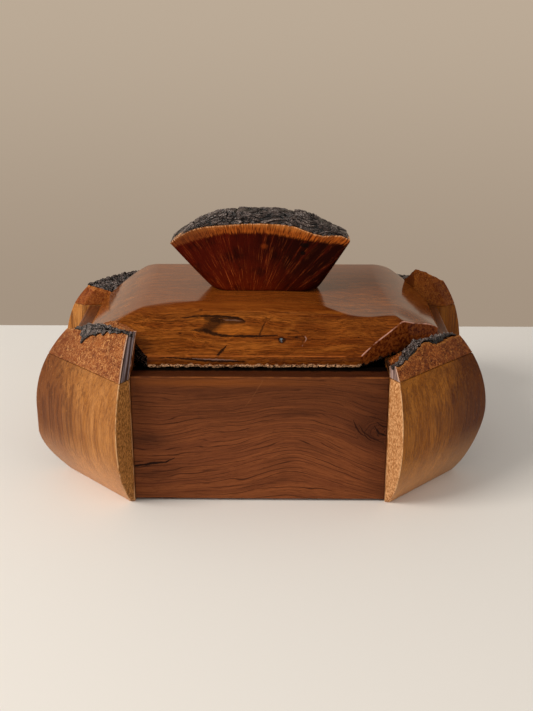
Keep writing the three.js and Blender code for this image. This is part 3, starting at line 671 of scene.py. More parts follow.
def add(tree, kind, links=(), **settings):
    """Adds one shader node: settings are its properties, links its inputs in their order, or by place or name.

    An input gets a value, an sRGB code, a node (for its first output) or a pair of node and output.
    """
    made = tree.nodes.new("ShaderNode" + kind)
    for key, value in settings.items():
        setattr(made, key, value)
    for key, value in links.items() if isinstance(links, dict) else enumerate(links):
        source = (value, 0) if isinstance(value, bpy.types.Node) else value
        if isinstance(source, tuple) and isinstance(source[0], bpy.types.Node):
            tree.links.new(source[0].outputs[source[1]], made.inputs[key])
        else:
            made.inputs[key].default_value = linear(value) if isinstance(value, str) else value
    return made


def blank_material(name):
    """A material with nothing in its tree."""
    material = bpy.data.materials.new(name)
    material.use_nodes = True
    material.node_tree.nodes.clear()
    return material


def new_material(name):
    """A blank material, its tree, and the place in millimetres that its patterns read."""
    material = blank_material(name)
    place = {0: (add(material.node_tree, "TexCoord"), "Object"), "Scale": 1 / METRES}
    return material, material.node_tree, add(material.node_tree, "VectorMath", place, operation="SCALE")


def finish_surface(material, colour, relief, roughness, specular=0.5, others=None):
    """Ends a material with its surface; the relief is a height, its strength and its distance in millimetres."""
    tree = material.node_tree
    height, strength, distance = relief
    bump = add(tree, "Bump", {"Height": height, "Strength": strength, "Distance": distance * METRES})
    surface = {"Base Color": colour, "Roughness": roughness, "Specular IOR Level": specular, "Normal": bump}
    add(tree, "OutputMaterial", [add(tree, "BsdfPrincipled", {**surface, **(others or {})})])
    return material


def ramp(tree, value, low, high, top=1.0, bottom=0.0):
    """Mask from a value: bottom below low, top above high, smooth between; low may be the larger one."""
    return add(tree, "MapRange", [value, low, high, bottom, top], interpolation_type="SMOOTHSTEP")


def coats(tree, colour, *layers):
    """Colours laid over one another: each layer is a tone, and masks whose product is how much shows."""
    for tone, amount, *masks in layers:
        for mask in masks:
            amount = add(tree, "Math", [amount, mask], operation="MULTIPLY")
        colour = add(tree, "Mix", {0: amount, 6: colour, 7: tone}, data_type="RGBA"), 2
    return colour


def noise(tree, place, size, detail=3.0, roughness=0.55, distortion=0.0):
    """Noise from 0 to 1 whose features have a size in millimetres, or one each along X, Y and Z."""
    scale = tuple(1 / s for s in (size if isinstance(size, tuple) else (size,) * 3))
    scaled = add(tree, "Mapping", {"Vector": place, "Scale": scale})
    links = {"Vector": scaled, "Scale": 1.0, "Detail": detail, "Roughness": roughness, "Distortion": distortion}
    return add(tree, "TexNoise", links)


def wobbled(tree, place, amount, size):
    """The place shifted by a noise of the given size, up to about half the amount on each axis."""
    warp = noise(tree, place, size, 2.0)
    centred = add(tree, "VectorMath", [(warp, "Color"), (0.5, 0.5, 0.5)], operation="SUBTRACT")
    return add(tree, "VectorMath", [centred, amount, place], operation="MULTIPLY_ADD")


def bell(tree, place, centre, size):
    """Bell-shaped mask about a centre: e to the minus squared distance, each axis counted in its own size."""
    shift = tuple(-c / s for c, s in zip(centre, size))
    near = add(tree, "Mapping", {"Vector": place, "Location": shift, "Scale": tuple(1 / s for s in size)})
    square = add(tree, "VectorMath", [near, near], operation="DOT_PRODUCT")
    return add(tree, "Math", [math.exp(-1), (square, "Value")], operation="POWER")


# Farther than anything on the box: a bell's size on an axis that it leaves out, and a stroke's first distance
FAR_OFF = 1e4


def stroke(tree, place, points, soft=0.35):
    """Mask along a line through points (x, y, z, half width): 1 on it, 0 beyond the half width."""
    nearest = FAR_OFF
    for (*start, first), (*stop, last) in zip(points, points[1:]):
        along = np.subtract(stop, start)
        local = add(tree, "VectorMath", [place, start], operation="SUBTRACT")
        run = add(tree, "VectorMath", [local, (along / along.dot(along)).tolist()], operation="DOT_PRODUCT")
        held = add(tree, "Clamp", [(run, "Value")])
        foot = add(tree, "VectorMath", {0: along.tolist(), "Scale": held}, operation="SCALE")
        gap = add(tree, "VectorMath", [local, foot], operation="DISTANCE")
        width = add(tree, "Math", [held, last - first, first], operation="MULTIPLY_ADD")
        part = add(tree, "Math", [(gap, "Value"), width], operation="DIVIDE")
        nearest = add(tree, "Math", [nearest, part], operation="MINIMUM")
    return ramp(tree, nearest, 1.0, soft)


def bent(tree, place, flow, axis, bends):
    """The flow lowered along one axis by bells at the place: each bend is its rise, centre and size."""
    lift = 0.0
    for rise, centre, size in bends:
        lift = add(tree, "Math", [bell(tree, place, centre, size), -rise, lift], operation="MULTIPLY_ADD")
    return add(tree, "VectorMath", [flow, add(tree, "CombineXYZ", {axis: lift})], operation="ADD")


def long_grain(tree, flow, tones, streak, run, contrast, pore):
    """Colour and height of long-grain wood: bands, fine streaks and short pores along the flow's X.

    Real pores are 0.1 to 0.2 mm wide, too fine to show, so they are drawn two to three times as wide.
    """
    dark, middle, light = tones
    broad = noise(tree, flow, (run * 2.2, streak * 7, streak * 7), 3.0, 0.55, 0.4)
    fine = noise(tree, flow, (run, streak, streak), 5.0, 0.7, 0.2)
    hair = noise(tree, flow, (run * 0.5, streak * 0.42, streak * 0.42), 2.0, 0.6)
    holes = ramp(tree, noise(tree, flow, (pore * 18, pore, pore), 2.0), 0.58, 0.68, 0.75 * contrast)
    thin = ramp(tree, fine, 0.38, 0.64)
    colour = coats(
        tree, middle,
        (light, ramp(tree, broad, 0.32, 0.68)),
        (dark, thin, 0.55 * contrast),
        (dark, ramp(tree, hair, 0.54, 0.66, 0.6 * contrast)),
        (dark, holes),
    )
    return colour, add(tree, "Math", [thin, holes], operation="ADD")


BOARD_FRONT = -HALF_DEPTH
KNOT = (76.0, BOARD_FRONT, 49.0)
# Front board's figure: each bend lifts the grain lines by so much about a centre, with its sizes
BOARD_BENDS = (
    (13.0, (20, 0, 40), (34, FAR_OFF, 34)), (-12.0, (96, 0, 34), (34, FAR_OFF, 40)),
    (3.0, (-30, 0, 50), (18, FAR_OFF, 10)), (-2.5, (-62, 0, 46), (20, FAR_OFF, 14)),
    (-3.0, (-75, 0, 14), (40, FAR_OFF, 16)), (3.0, (48, 0, 66), (18, FAR_OFF, 10)),
)
# Dark marks on the front board, at its left edge and about the knot: strength, then points (x, z, half width)
BOARD_MARKS = (
    (0.95, (-81, 24.6, 0.9), (-70, 26.2, 1.2), (-60, 27.4, 0.8), (-54, 30.6, 0.2)),
    (0.6, (-81, 27.0, 0.5), (-74, 28.0, 0.2)),
    (0.75, (58.5, 57, 0.2), (60.5, 52, 0.8), (64, 47.4, 0.6), (70, 43.4, 0.2)),
    (0.7, (62.5, 54, 0.2), (65, 49, 0.6), (70, 45, 0.7), (78, 41.6, 0.3)),
    (0.8, (72, 53, 0.3), (75, 48, 1.3), (79.5, 46.5, 0.8)),
    (0.7, (73, 56, 0.3), (77, 53, 0.8), (80, 52.5, 0.5)),
    (0.5, (66, 60, 0.2), (72, 59, 0.6), (79, 56, 0.4)),
)
SCRATCH = ((2, 83.5, 0.6), (-4.7, 72, 0.5), (-9, 66, 0.4))
# Distance between the board's year lines along their depth, and how far they drift
YEAR, YEAR_DRIFT = 1.35, 12.0


def board_wood(name):
    """Oiled reddish-brown board, planed: arching grain lines, a dark knot at its right, a crack, a scratch, painted
    shade on its top and a painted highlight along its top front arris.
    """
    material, tree, place = new_material(name)
    arched = wobbled(tree, bent(tree, place, place, 2, BOARD_BENDS), (0.0, 2.0, 3.0), 30.0)
    ringed = wobbled(tree, add(tree, "VectorMath", [place, KNOT], operation="SUBTRACT"), (6.0, 0.0, 5.0), 8.0)
    oval = add(tree, "Mapping", {"Vector": ringed, "Scale": (0.75, 0.3, 1.2)})
    around = add(tree, "VectorMath", [oval], operation="LENGTH")
    near_knot = ramp(tree, bell(tree, place, KNOT, (15, 20, 11)), 0.3, 0.6)
    rings = add(tree, "CombineXYZ", [5.0, 0.0, (around, "Value")])
    flow = add(tree, "Mix", {0: near_knot, 4: arched, 5: rings}, data_type="VECTOR"), 1
    colour, height = long_grain(tree, flow, ("#45200d", "#784124", "#8c4e2a"), 0.55, 40.0, 0.62, 0.34)

    depth = add(tree, "SeparateXYZ", [flow]), 2
    drift = noise(tree, flow, (60, 12, 12), 2.0)
    phase = add(tree, "Math", [drift, YEAR_DRIFT, depth], operation="MULTIPLY_ADD")
    year = ramp(tree, add(tree, "Math", [phase, YEAR], operation="PINGPONG"), 0.3, 0.05)
    broken = ramp(tree, noise(tree, flow, (40, 3, 2.4)), 0.38, 0.56, 0.85)
    cloud = noise(tree, arched, (46, 20, 9))
    specks = ramp(tree, noise(tree, place, (1.6, 3.0, 1.1)), 0.56, 0.66)
    parts = add(tree, "SeparateXYZ", [place])
    loose = wobbled(tree, place, (1.4, 0.0, 1.6), 4.0)
    faint = ramp(tree, noise(tree, place, 3), 0.35, 0.6, 0.14)
    # Painted highlight along the top front arris, broken into patches by noise.
    arris_highlight = stroke(tree, place, [(side * FRONT_END, BOARD_FRONT + GAP, RIM - GAP, 0.9) for side in (-1, 1)])
    highlight_patches = ramp(tree, noise(tree, place, (9, 3, 3)), 0.35, 0.65, 0.5)
    # Masks of the rim's top and of its inner part under the lid, for painted shade.
    top = ramp(tree, (parts, 2), RIM - 0.5, RIM - 0.15)
    edge = add(tree, "Math", [noise(tree, place, 3), 4.0, (parts, 1)], operation="MULTIPLY_ADD")
    from_middle = add(tree, "Math", [edge], operation="ABSOLUTE")

    def on_front(points):
        return stroke(tree, loose, [(x, BOARD_FRONT, z, width) for x, z, width in points])

    colour = coats(
        tree, colour,
        ("#2e1408", year, broken),
        ("#42200f", ramp(tree, cloud, 0.52, 0.72, 0.4)),
        ("#34180a", ramp(tree, (parts, 0), 52.0, 84.0, 0.34)),
        ("#3e1e0a", ramp(tree, (parts, 2), 30.0, 84.0, 0.5)),
        ("#94501c", bell(tree, place, (-28, BOARD_FRONT, 82), (52, 9, 2.6)), 0.5),
        ("#2a1610", bell(tree, place, (-74, BOARD_FRONT, 43), (18, 9, 4.5)), 0.5),
        ("#2a100a", bell(tree, place, (71, BOARD_FRONT, 52), (17, 9, 14)), 0.5),
        ("#150703", specks, bell(tree, place, (76, BOARD_FRONT, 50), (7, 9, 6))),
        *(("#150703", on_front(points), strength) for strength, *points in BOARD_MARKS),
        ("#a56a3c", on_front(SCRATCH), faint),
        # painted highlight along the top front arris
        ("#a8622c", arris_highlight, highlight_patches),
        # painted shade: the rim's top darker in the lid's shade, and a black painted shadow under and just in front
        # of the lid's edge
        ("#300d02", top, 0.66),
        ("#060201", top, ramp(tree, from_middle, 84.6, 82.6)),
    )
    return finish_surface(material, colour, (height, 0.4, 0.25), roughness=0.5, specular=0.08)


def plain_board_wood(name):
    """Oiled reddish-brown wood of the side boards and cleats, with its grain along Y."""
    material, tree, place = new_material(name)
    loose = wobbled(tree, place, (6.0, 0.0, 9.0), 34.0)
    turned = add(tree, "Mapping", {"Vector": loose, "Rotation": (0, 0, math.pi / 2)})
    colour, height = long_grain(tree, turned, ("#35190c", "#6c3a1c", "#844a24"), 1.1, 60.0, 0.9, 0.45)
    return finish_surface(material, colour, (height, 0.35, 0.25), roughness=0.36, specular=0.4)


def block_wood(name, tones, facet_tones, stain, low):
    """Oiled golden-brown block: fine upright streaks, a dark stain at the outer end, a rough-sawn facet, a painted
    sheen near the table and painted highlights along its arrises.
    """
    material, tree, place = new_material(name)
    dark, _, light = tones
    loose = wobbled(tree, place, (2.0, 2.0, 0.0), 30.0)
    upright = add(tree, "Mapping", {"Vector": loose, "Rotation": (0, math.pi / 2, 0)})
    colour, height = long_grain(tree, upright, tones, 0.9, 34.0, 0.8, 0.45)
    facet, strip, arris_highlight = [
        (add(tree, "Attribute", attribute_name=mark), "Fac") for mark in ("facet", "end_strip", "arris_highlight")
    ]
    parts = add(tree, "SeparateXYZ", [place])
    from_middle = add(tree, "Math", [(parts, 0)], operation="ABSOLUTE")
    sway = add(tree, "Math", [noise(tree, place, (9, 9, 50), 4.0), 26.0, from_middle], operation="MULTIPLY_ADD")
    vein = noise(tree, place, (1.8, 1.8, 140), 4.0, 0.6)
    glint = noise(tree, place, (1.1, 1.1, 1.6), 3.0, 0.7)
    blush = noise(tree, place, (16, 16, 24), 2.0)
    rough = noise(tree, place, (1.0, 1.0, 1.8), 4.0, 0.7)
    patch = noise(tree, place, (5.0, 5.0, 9.0), 3.0, 0.6)
    sawn = coats(
        tree, facet_tones[0],
        (facet_tones[1], ramp(tree, rough, 0.4, 0.62)),
        (facet_tones[0], ramp(tree, patch, 0.55, 0.7, 0.5)),
    )
    colour = coats(
        tree, colour,
        (dark, ramp(tree, sway, 124.0, 148.0, stain)),
        ("#46200c", ramp(tree, vein, 0.46, 0.62, 0.6), ramp(tree, from_middle, 96.0, 132.0, 1.0, 0.4)),
        (light, ramp(tree, glint, 0.6, 0.7, 0.4)),
        (dark, ramp(tree, blush, 0.5, 0.7, 0.3)),
        # painted sheen: lighter towards the table
        (low, ramp(tree, (parts, 2), 44.0, 2.0, 0.4)),
        (sawn, facet),
        ("#7a4420", strip, 0.75),
        # painted highlight along the arrises beside the facet
        ("#e0b080", arris_highlight, ramp(tree, noise(tree, place, (3, 3, 9)), 0.35, 0.55, 0.7)),
    )
    tooth = add(tree, "Math", [rough, facet], operation="MULTIPLY")
    tooth = add(tree, "Math", [tooth, 3.0, height], operation="MULTIPLY_ADD")
    return finish_surface(material, colour, (tooth, 0.4, 0.2), roughness=0.4, specular=0.1)


def burl_wood(name, tones, facet_tones, wall, lean):
    """Oiled burl of the caps: bright and dark curls over a cloudy reddish ground, a facet whose grey-brown on the
    front caps is a painted lamp reflection.

    The wall is the painted shade of the inner faces, which look at the lid across a narrow gap, and how much of it
    shows; lean tilts the facet's streaks.
    """
    material, tree, place = new_material(name)
    dark, middle, light = tones
    facet, inward, arris_highlight, brink = [
        (add(tree, "Attribute", attribute_name=mark), "Fac") for mark in ("facet", "inward", "arris_highlight", "brink")
    ]
    cloud = noise(tree, place, 10, 4.0, 0.65, 0.8)
    fleck = noise(tree, wobbled(tree, place, (8.0, 8.0, 8.0), 4.0), (1.2, 1.2, 2.2), 4.0, 0.8, 1.0)
    parts = add(tree, "SeparateXYZ", [place])
    from_middle = add(tree, "Math", [(parts, 0)], operation="ABSOLUTE")
    across = add(tree, "Math", [(parts, 2), lean, (parts, 0)], operation="MULTIPLY_ADD")
    streaks = noise(tree, add(tree, "CombineXYZ", [across, 0.0, (parts, 2)]), (1.7, 1.0, 50), 3.0, 0.6)
    splinter = noise(tree, place, (1.0, 1.0, 1.8), 3.0, 0.7)
    # On the front caps the facet's grey tones are a painted reflection of the lamp.
    grey = coats(tree, facet_tones[0], (facet_tones[1], ramp(tree, streaks, 0.44, 0.66)))
    colour = coats(
        tree, middle,
        (dark, ramp(tree, cloud, 0.42, 0.66, 0.8)),
        (light, ramp(tree, fleck, 0.52, 0.6)),
        (dark, ramp(tree, fleck, 0.48, 0.4)),
        (dark, ramp(tree, from_middle, 108.0, 132.0, 0.45)),
        # painted shade on the inner faces, towards the lid
        (wall[0], inward, wall[1]),
        # painted reflection on the front caps' facets
        (grey, facet, 0.95),
        # painted highlight along the arrises beside the facet
        ("#e4b496", arris_highlight, ramp(tree, noise(tree, place, (3, 3, 6)), 0.3, 0.5, 0.7)),
        (light, brink, ramp(tree, splinter, 0.42, 0.56, 0.85)),
    )
    sawn = add(tree, "Math", [facet, -0.85, 1.0], operation="MULTIPLY_ADD")
    curls = add(tree, "Math", [fleck, sawn], operation="MULTIPLY")
    return finish_surface(material, colour, (curls, 0.8, 0.7), roughness=0.38, specular=0.12)


def bark_skin(name):
    """Dry charcoal bark under a thin finish: black crevices, brown-grey plates with glinting crests."""
    material, tree, place = new_material(name)
    crest = add(tree, "Attribute", attribute_name="crest"), "Fac"
    coarse = noise(tree, place, 3.4, 5.0, 0.7, 0.5)
    fine = noise(tree, place, 0.8, 3.0, 0.7)
    colour = coats(
        tree, "#191211",
        ("#5a4b46", ramp(tree, coarse, 0.36, 0.62)),
        ("#040303", ramp(tree, crest, 0.44, 0.12)),
        ("#b0a098", ramp(tree, crest, 0.5, 0.72), ramp(tree, fine, 0.5, 0.58, 0.75)),
    )
    return finish_surface(material, colour, (fine, 0.9, 0.7), roughness=0.34, specular=0.55)


LID_BENDS = ((6.0, (-14, -52, 111), (34, 7, 20)), (-6.0, (-8, -72, 101), (38, 7, 20)))
# Dark and pale marks on the lid's front slope and lip: strength, then points (x, y, z, half width)
LID_MARKS = {
    "#261208": (
        (0.95, (-51.2, -54.4, 110.3, 0.3), (-42, -53.0, 110.9, 1.5), (-32.6, -52.4, 111.2, 1.6),
         (-22.2, -53.0, 111.0, 1.4), (-14.5, -54.3, 110.4, 1.8), (-9.9, -57.0, 109.3, 0.6)),
        (0.8, (-34, -54.8, 110.2, 3.2), (-26, -55.6, 109.9, 5.6), (-18, -56.4, 109.5, 5.8),
         (-11, -57.4, 109.1, 2.6)),
        (0.8, (-28, -57.4, 109.1, 6.4), (-32, -62.0, 106.9, 6.6), (-37, -64.4, 105.7, 3.4),
         (-44, -64.6, 105.6, 0.5)),
        (0.95, (-35, -64.6, 105.6, 2.2), (-30.0, -67.2, 104.2, 2.2), (-24, -68.6, 103.4, 1.7),
         (-17.8, -68.8, 103.3, 1.3), (-6.4, -69.0, 103.2, 1.5), (3.2, -68.8, 103.3, 1.2),
         (11.3, -68.2, 103.6, 0.5)),
        (0.95, (-20.6, -74.8, 99.8, 0.2), (-24, -79.0, 97.0, 1.4), (-27.4, -83.0, 93.8, 1.0)),
        (0.95, (-63, -82.0, 93.8, 0.3), (-48, -82.0, 92.9, 1.0), (-34, -82.0, 91.6, 1.4),
         (-20, -82.0, 91.2, 1.2), (-8, -82.0, 91.0, 0.3)),
        (0.45, (13.0, -63.4, 106.2, 0.2), (20.0, -64.0, 105.9, 1.1), (25.9, -66.4, 104.7, 0.9),
         (28.2, -70.4, 102.4, 1.0), (25.2, -75.4, 99.2, 0.3)),
        (0.4, (18.0, -69.0, 103.4, 0.8), (23.2, -69.6, 103.0, 2.2), (26.5, -70.6, 102.3, 0.4)),
        (0.7, (3.0, -58.0, 108.8, 0.4), (1.6, -62.0, 106.9, 0.8), (-0.4, -68.0, 103.7, 0.9)),
    ),
    # Pale marks: painted glints along the crack edges; on the lip partly pale torn fibre.
    "#b08a7a": (
        (0.5, (27.6, -66.6, 104.5, 0.2), (29.4, -70.6, 102.2, 0.7), (26.6, -75.6, 99.0, 0.2)),
        (0.4, (-42, -82.0, 92.8, 0.2), (-28, -82.0, 92.2, 0.7), (-14, -82.0, 91.8, 0.2)),
        (0.22, (-24, -55.4, 110.0, 0.4), (-21, -56.2, 109.7, 1.0), (-15, -56.6, 109.5, 0.9),
         (-12, -57.2, 109.2, 0.2)),
    ),
}
LID_SPECKS = ((24, -46, 113.3), (-39, -46.5, 113.2), (-51, -66.8, 104.4), (23, -69.5, 103), (62, -70, 102.5))
NAIL_HOLE = (13.8, -71.6, 101.7)


def lid_wood(name):
    """Polished orange-brown slab: fine grain round an eye of dark wood, cracks, torn pale fibre below, a painted
    highlight along the lip's top arris and painted deep shade on the left front cut.
    """
    material, tree, place = new_material(name)
    end_grain, arris_highlight, torn, bark_and_shade, upright = [
        (add(tree, "Attribute", attribute_name=mark), "Fac")
        for mark in ("end_grain", "arris_highlight", "torn", "bark_and_shade", "upright")
    ]
    flow = bent(tree, place, wobbled(tree, place, (0.0, 12.0, 4.0), 38.0), 1, LID_BENDS)
    colour, height = long_grain(tree, flow, ("#2e0f03", "#824012", "#ac6020"), 0.7, 22.0, 1.2, 0.42)
    cloud = noise(tree, flow, (24, 8, 8), 4.0, 0.7)
    lines = noise(tree, flow, (26, 1.3, 1.3), 3.0, 0.6)
    parts = add(tree, "SeparateXYZ", [place])
    jittered = wobbled(tree, place, (2.2, 1.8, 1.3), 2.6)
    grain = ramp(tree, noise(tree, place, (4.0, 0.8, 0.8), 3.0, 0.7), 0.2, 0.42)
    specks = 0.0
    for centre in LID_SPECKS:
        specks = add(tree, "Math", [specks, bell(tree, jittered, centre, (1.5, 0.9, 1.0))], operation="MAXIMUM")
    hole = add(tree, "VectorMath", [jittered, NAIL_HOLE], operation="DISTANCE"), "Value"
    shine = ramp(tree, noise(tree, place, 1.4, 2.0), 0.42, 0.56, 0.8)
    pith = noise(tree, place, (2.4, 2.4, 2.0), 4.0, 0.7)
    highlight_gaps = ramp(tree, noise(tree, place, (6, 6, 3)), 0.3, 0.6, 0.75)
    crumbs = noise(tree, place, (1.2, 1.2, 0.8), 3.0, 0.75)
    cut_wood = coats(tree, "#521a06", ("#904a1c", ramp(tree, pith, 0.38, 0.6)))
    # Painted highlight along the lip's top arris, in patches.
    bright = coats(tree, "#b86428", ("#e6b0a0", ramp(tree, arris_highlight, 0.5, 0.9)))
    fibre = coats(tree, "#1c0a04", ("#f4ba8c", ramp(tree, crumbs, 0.42, 0.54)))
    # Black with bark flecks: bark and painted shade at the right front cut, painted deep shade on the left front cut.
    scale = coats(tree, "#050303", ("#7a6254", ramp(tree, crumbs, 0.52, 0.64)))
    colour = coats(
        tree, colour,
        ("#4c2006", ramp(tree, cloud, 0.5, 0.68, 0.45)),
        ("#401804", ramp(tree, lines, 0.54, 0.64, 0.5)),
        ("#b86a24", ramp(tree, cloud, 0.46, 0.3, 0.4)),
        # flat top darker and redder, its tone set to the handle's dark reflection on it: partly painted reflection
        ("#7c3c12", ramp(tree, (parts, 2), 111.5, 115.0, 0.55)),
        ("#b0601c", bell(tree, place, (-10, -64, 106), (20, 4.0, 12)), 0.36),
        ("#521f06", ramp(tree, (parts, 0), -30.0, 90.0, 0.35)),
        ("#3c1206", ramp(tree, (parts, 2), 97.0, 93.0, 0.3)),
        *((tone, stroke(tree, jittered, points), strength, grain)
          for tone, marks in LID_MARKS.items() for strength, *points in marks),
        ("#1c0b04", ramp(tree, specks, 0.3, 0.8, 0.75)),
        ("#170a05", ramp(tree, hole, 3.2, 2.0, 0.85)),
        ("#7a8890", ramp(tree, hole, 2.0, 1.3), shine),
        (cut_wood, end_grain),
        # painted highlight along the lip's top arris
        (bright, ramp(tree, arris_highlight, 0.0, 0.5), highlight_gaps),
        (fibre, torn),
        # bark and painted shade on the cuts
        (scale, bark_and_shade),
    )
    matt = add(tree, "Math", [torn, bark_and_shade], operation="MAXIMUM")
    gloss = add(tree, "Math", [upright, -0.92, 1.0], operation="MULTIPLY_ADD")
    relief = add(tree, "Math", [crumbs, matt], operation="MULTIPLY")
    relief = add(tree, "Math", [relief, 4.0, height], operation="MULTIPLY_ADD")
    polish = {"Coat Weight": gloss, "Coat IOR": 1.56, "Coat Roughness": 0.11}
    return finish_surface(material, colour, (relief, 0.25, 0.25), roughness=0.4, specular=0.0, others=polish)


WEDGE_FACE = LID_Y - HANDLE_DEPTH / 2
# The log's pith, below the wedge's foot, and the radius at which the rays have their true widths
PITH = (-8.0, 0.0, HANDLE_FOOT - 26.0)
RAY_RADIUS = 57.0


def log_wedge(name):
    """Polished log end: dark red heartwood with thin radial rays, and a golden sapwood band under the bark.

    Real rays are 0.1 to 0.2 mm wide, too fine to show, so they are drawn two to four times as wide.
    """
    material, tree, place = new_material(name)
    sapwood, under_bark = [
        (add(tree, "Attribute", attribute_name=mark), "Fac") for mark in ("sapwood", "under_bark")
    ]
    parts = add(tree, "SeparateXYZ", [place])
    spoke = add(tree, "VectorMath", [place, PITH], operation="SUBTRACT")
    spoke = add(tree, "VectorMath", [spoke, (1, 0, 1)], operation="MULTIPLY")
    radius = add(tree, "VectorMath", [spoke], operation="LENGTH"), "Value"
    turned = add(tree, "SeparateXYZ", [spoke])
    angle = add(tree, "Math", [(turned, 0), (turned, 2)], operation="ARCTAN2")
    round_pith = add(tree, "Math", [angle, RAY_RADIUS], operation="MULTIPLY")
    polar = wobbled(tree, add(tree, "CombineXYZ", [round_pith, radius, (parts, 1)]), (1.6, 0.0, 0.0), 9.0)
    rays = noise(tree, polar, (0.42, 15, 12), 4.0, 0.65, 0.1)
    shade = noise(tree, polar, (2.6, 34, 20), 3.0, 0.6)
    cloud = noise(tree, place, 12, 3.0, 0.6)
    patch = noise(tree, polar, (0.6, 10, 12), 4.0, 0.7)
    sway = add(tree, "Math", [cloud, 60.0, (parts, 0)], operation="MULTIPLY_ADD")
    lit = bell(tree, place, (-8, WEDGE_FACE, HANDLE_FOOT + 5), (26, 20, 15))
    lit = add(tree, "Math", [lit, 0.75, 0.22], operation="MULTIPLY_ADD")
    heart = coats(
        tree, "#430b02",
        ("#1e0300", ramp(tree, sway, -10.0, 60.0)),
        ("#661c04", bell(tree, place, (-14, WEDGE_FACE, HANDLE_FOOT + 2), (34, 20, 17)), 0.6),
        ("#1a0301", ramp(tree, cloud, 0.5, 0.66, 0.5)),
        ("#601806", ramp(tree, shade, 0.52, 0.66, 0.32)),
        ("#c4602a", ramp(tree, rays, 0.57, 0.62), lit, ramp(tree, shade, 0.4, 0.6)),
        ("#180300", ramp(tree, rays, 0.46, 0.36, 0.55)),
    )
    wavy = add(tree, "Math", [noise(tree, polar, (1.6, 8, 8)), 3.0, sapwood], operation="MULTIPLY_ADD")
    wavy = add(tree, "Math", [patch, 3.6, wavy], operation="MULTIPLY_ADD")
    golden = coats(
        tree, "#4a1a06",
        ("#a8541a", ramp(tree, patch, 0.4, 0.6)),
        ("#c87a36", ramp(tree, wavy, 6.0, 9.8, 0.5)),
        ("#5a2a16", ramp(tree, (parts, 0), -22.0, -48.0, 0.7)),
    )
    spots = add(tree, "Math", [
        bell(tree, place, (29, WEDGE_FACE, 147.5), (3.2, 4, 1.7)),
        bell(tree, place, (28, WEDGE_FACE, 142), (1.8, 4, 1.6)),
    ], operation="MAXIMUM")
    ember = bell(tree, place, (LID_X, WEDGE_FACE, HANDLE_FOOT + 31), (2.4, 4, 2.0))
    colour = coats(
        tree, heart,
        (golden, ramp(tree, wavy, 2.4, 4.6)),
        # painted highlight along the face's top edge under the bark, in patches
        ("#e0a878", ramp(tree, under_bark, 1.0, 0.2), ramp(tree, patch, 0.45, 0.58, 0.8)),
        ("#0d0403", ramp(tree, spots, 0.3, 0.6, 0.9)),
        ("#8a3a10", ramp(tree, ember, 0.1, 0.9, 0.45)),
    )
    return finish_surface(material, colour, (rays, 0.25, 0.3), roughness=0.34, specular=0.03)


def brass(name):
    """Plain turned brass of the hidden screws, whose turning marks are drawn coarser than real ones, to show."""
    material, tree, place = new_material(name)
    marks = noise(tree, place, 0.6, 2.0)
    rough = add(tree, "MapRange", {0: marks, 3: 0.28, 4: 0.42})
    return finish_surface(material, "#c9a760", (marks, 0.1, 0.1), roughness=rough, others={"Metallic": 1.0})


# ---------------------------------------------------------------- the object


def dress(piece, material, body, replaced):
    """Gives a new piece its material and body, and lets it stand for its solid."""
    piece.data.materials.append(material)
    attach(piece, body)
    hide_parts(replaced)


# Of each corner's block: dark, middle and light tone, its facet's two tones, its stain's strength, its painted sheen
# near the table. Of its cap: dark, middle and light tone, its facet's two tones (a painted lamp reflection on the
# front caps), its inner wall's painted shade and how much of it shows
WOODS = {
    "front_left": (
        (("#6e3c1a", "#a4682f", "#be8044"), ("#74481f", "#bc8044"), 0.9, "#f8bc8c"),
        (("#642c10", "#985426", "#d0945a"), ("#33231f", "#908286"), ("#642c10", 0.7)),
    ),
    "front_right": (
        (("#4c1e04", "#9a5a18", "#b47026"), ("#a06636", "#e0a874"), 0.85, "#f0b884"),
        (("#4a1a06", "#90481a", "#c8803e"), ("#64504c", "#a88c84"), ("#1c0e08", 0.9)),
    ),
    "back_left": (
        (("#8a5224", "#cc843e", "#e09e54"), ("#8a5428", "#b67c44"), 0.3, "#cc843e"),
        (("#702e0c", "#a85c22", "#c87e3e"), ("#93501f", "#a86030"), ("#702e0c", 0.7)),
    ),
    "back_right": (
        (("#5a2c04", "#985410", "#aa681c"), ("#7a4414", "#945a22"), 0.4, "#985410"),
        (("#5a2406", "#904a14", "#ae6a28"), ("#6c300a", "#7c3c12"), ("#5a2406", 0.7)),
    ),
}
bark = bark_skin("dry_dark_bark")
for label, corner in CORNERS.items():
    block_look, cap_look = WOODS[label]
    blocks = block_wood(f"oiled_block_wood_{label}", *block_look)
    dress(corner_block(label, corner), blocks, "box", f"corner_block_{label}")
    caps = burl_wood(f"oiled_burl_{label}", *cap_look, corner["side"] * corner["lean"])
    dress(corner_cap(label, corner), caps, "box", f"corner_cap_{label}")
    dress(corner_bark(label, corner), bark, "box", f"corner_bark_{label}")

dress(lid_panel(), lid_wood("polished_lid_wood"), "lid", "lid_panel")
dress(handle_wood(), log_wedge("polished_log_wedge"), "lid", "lid_handle")
dress(handle_bark(), bark, "lid", "lid_handle_bark")

long_boards = board_wood("oiled_board_wood")
side_boards = plain_board_wood("oiled_side_board_wood")
screw_metal = brass("turned_brass")
CAD_FINISHES = {
    "front_board": long_boards, "back_board": long_boards, "left_board": side_boards, "right_board": side_boards,
    "floor_panel": side_boards, "lid_cleat_left": side_boards, "lid_cleat_right": side_boards,
    "handle_screw_left": screw_metal, "handle_screw_right": screw_metal,
}
for label, material in CAD_FINISHES.items():
    nodes[label].data.materials.clear()
    nodes[label].data.materials.append(material)


# ---------------------------------------------------------------- stage, light and camera


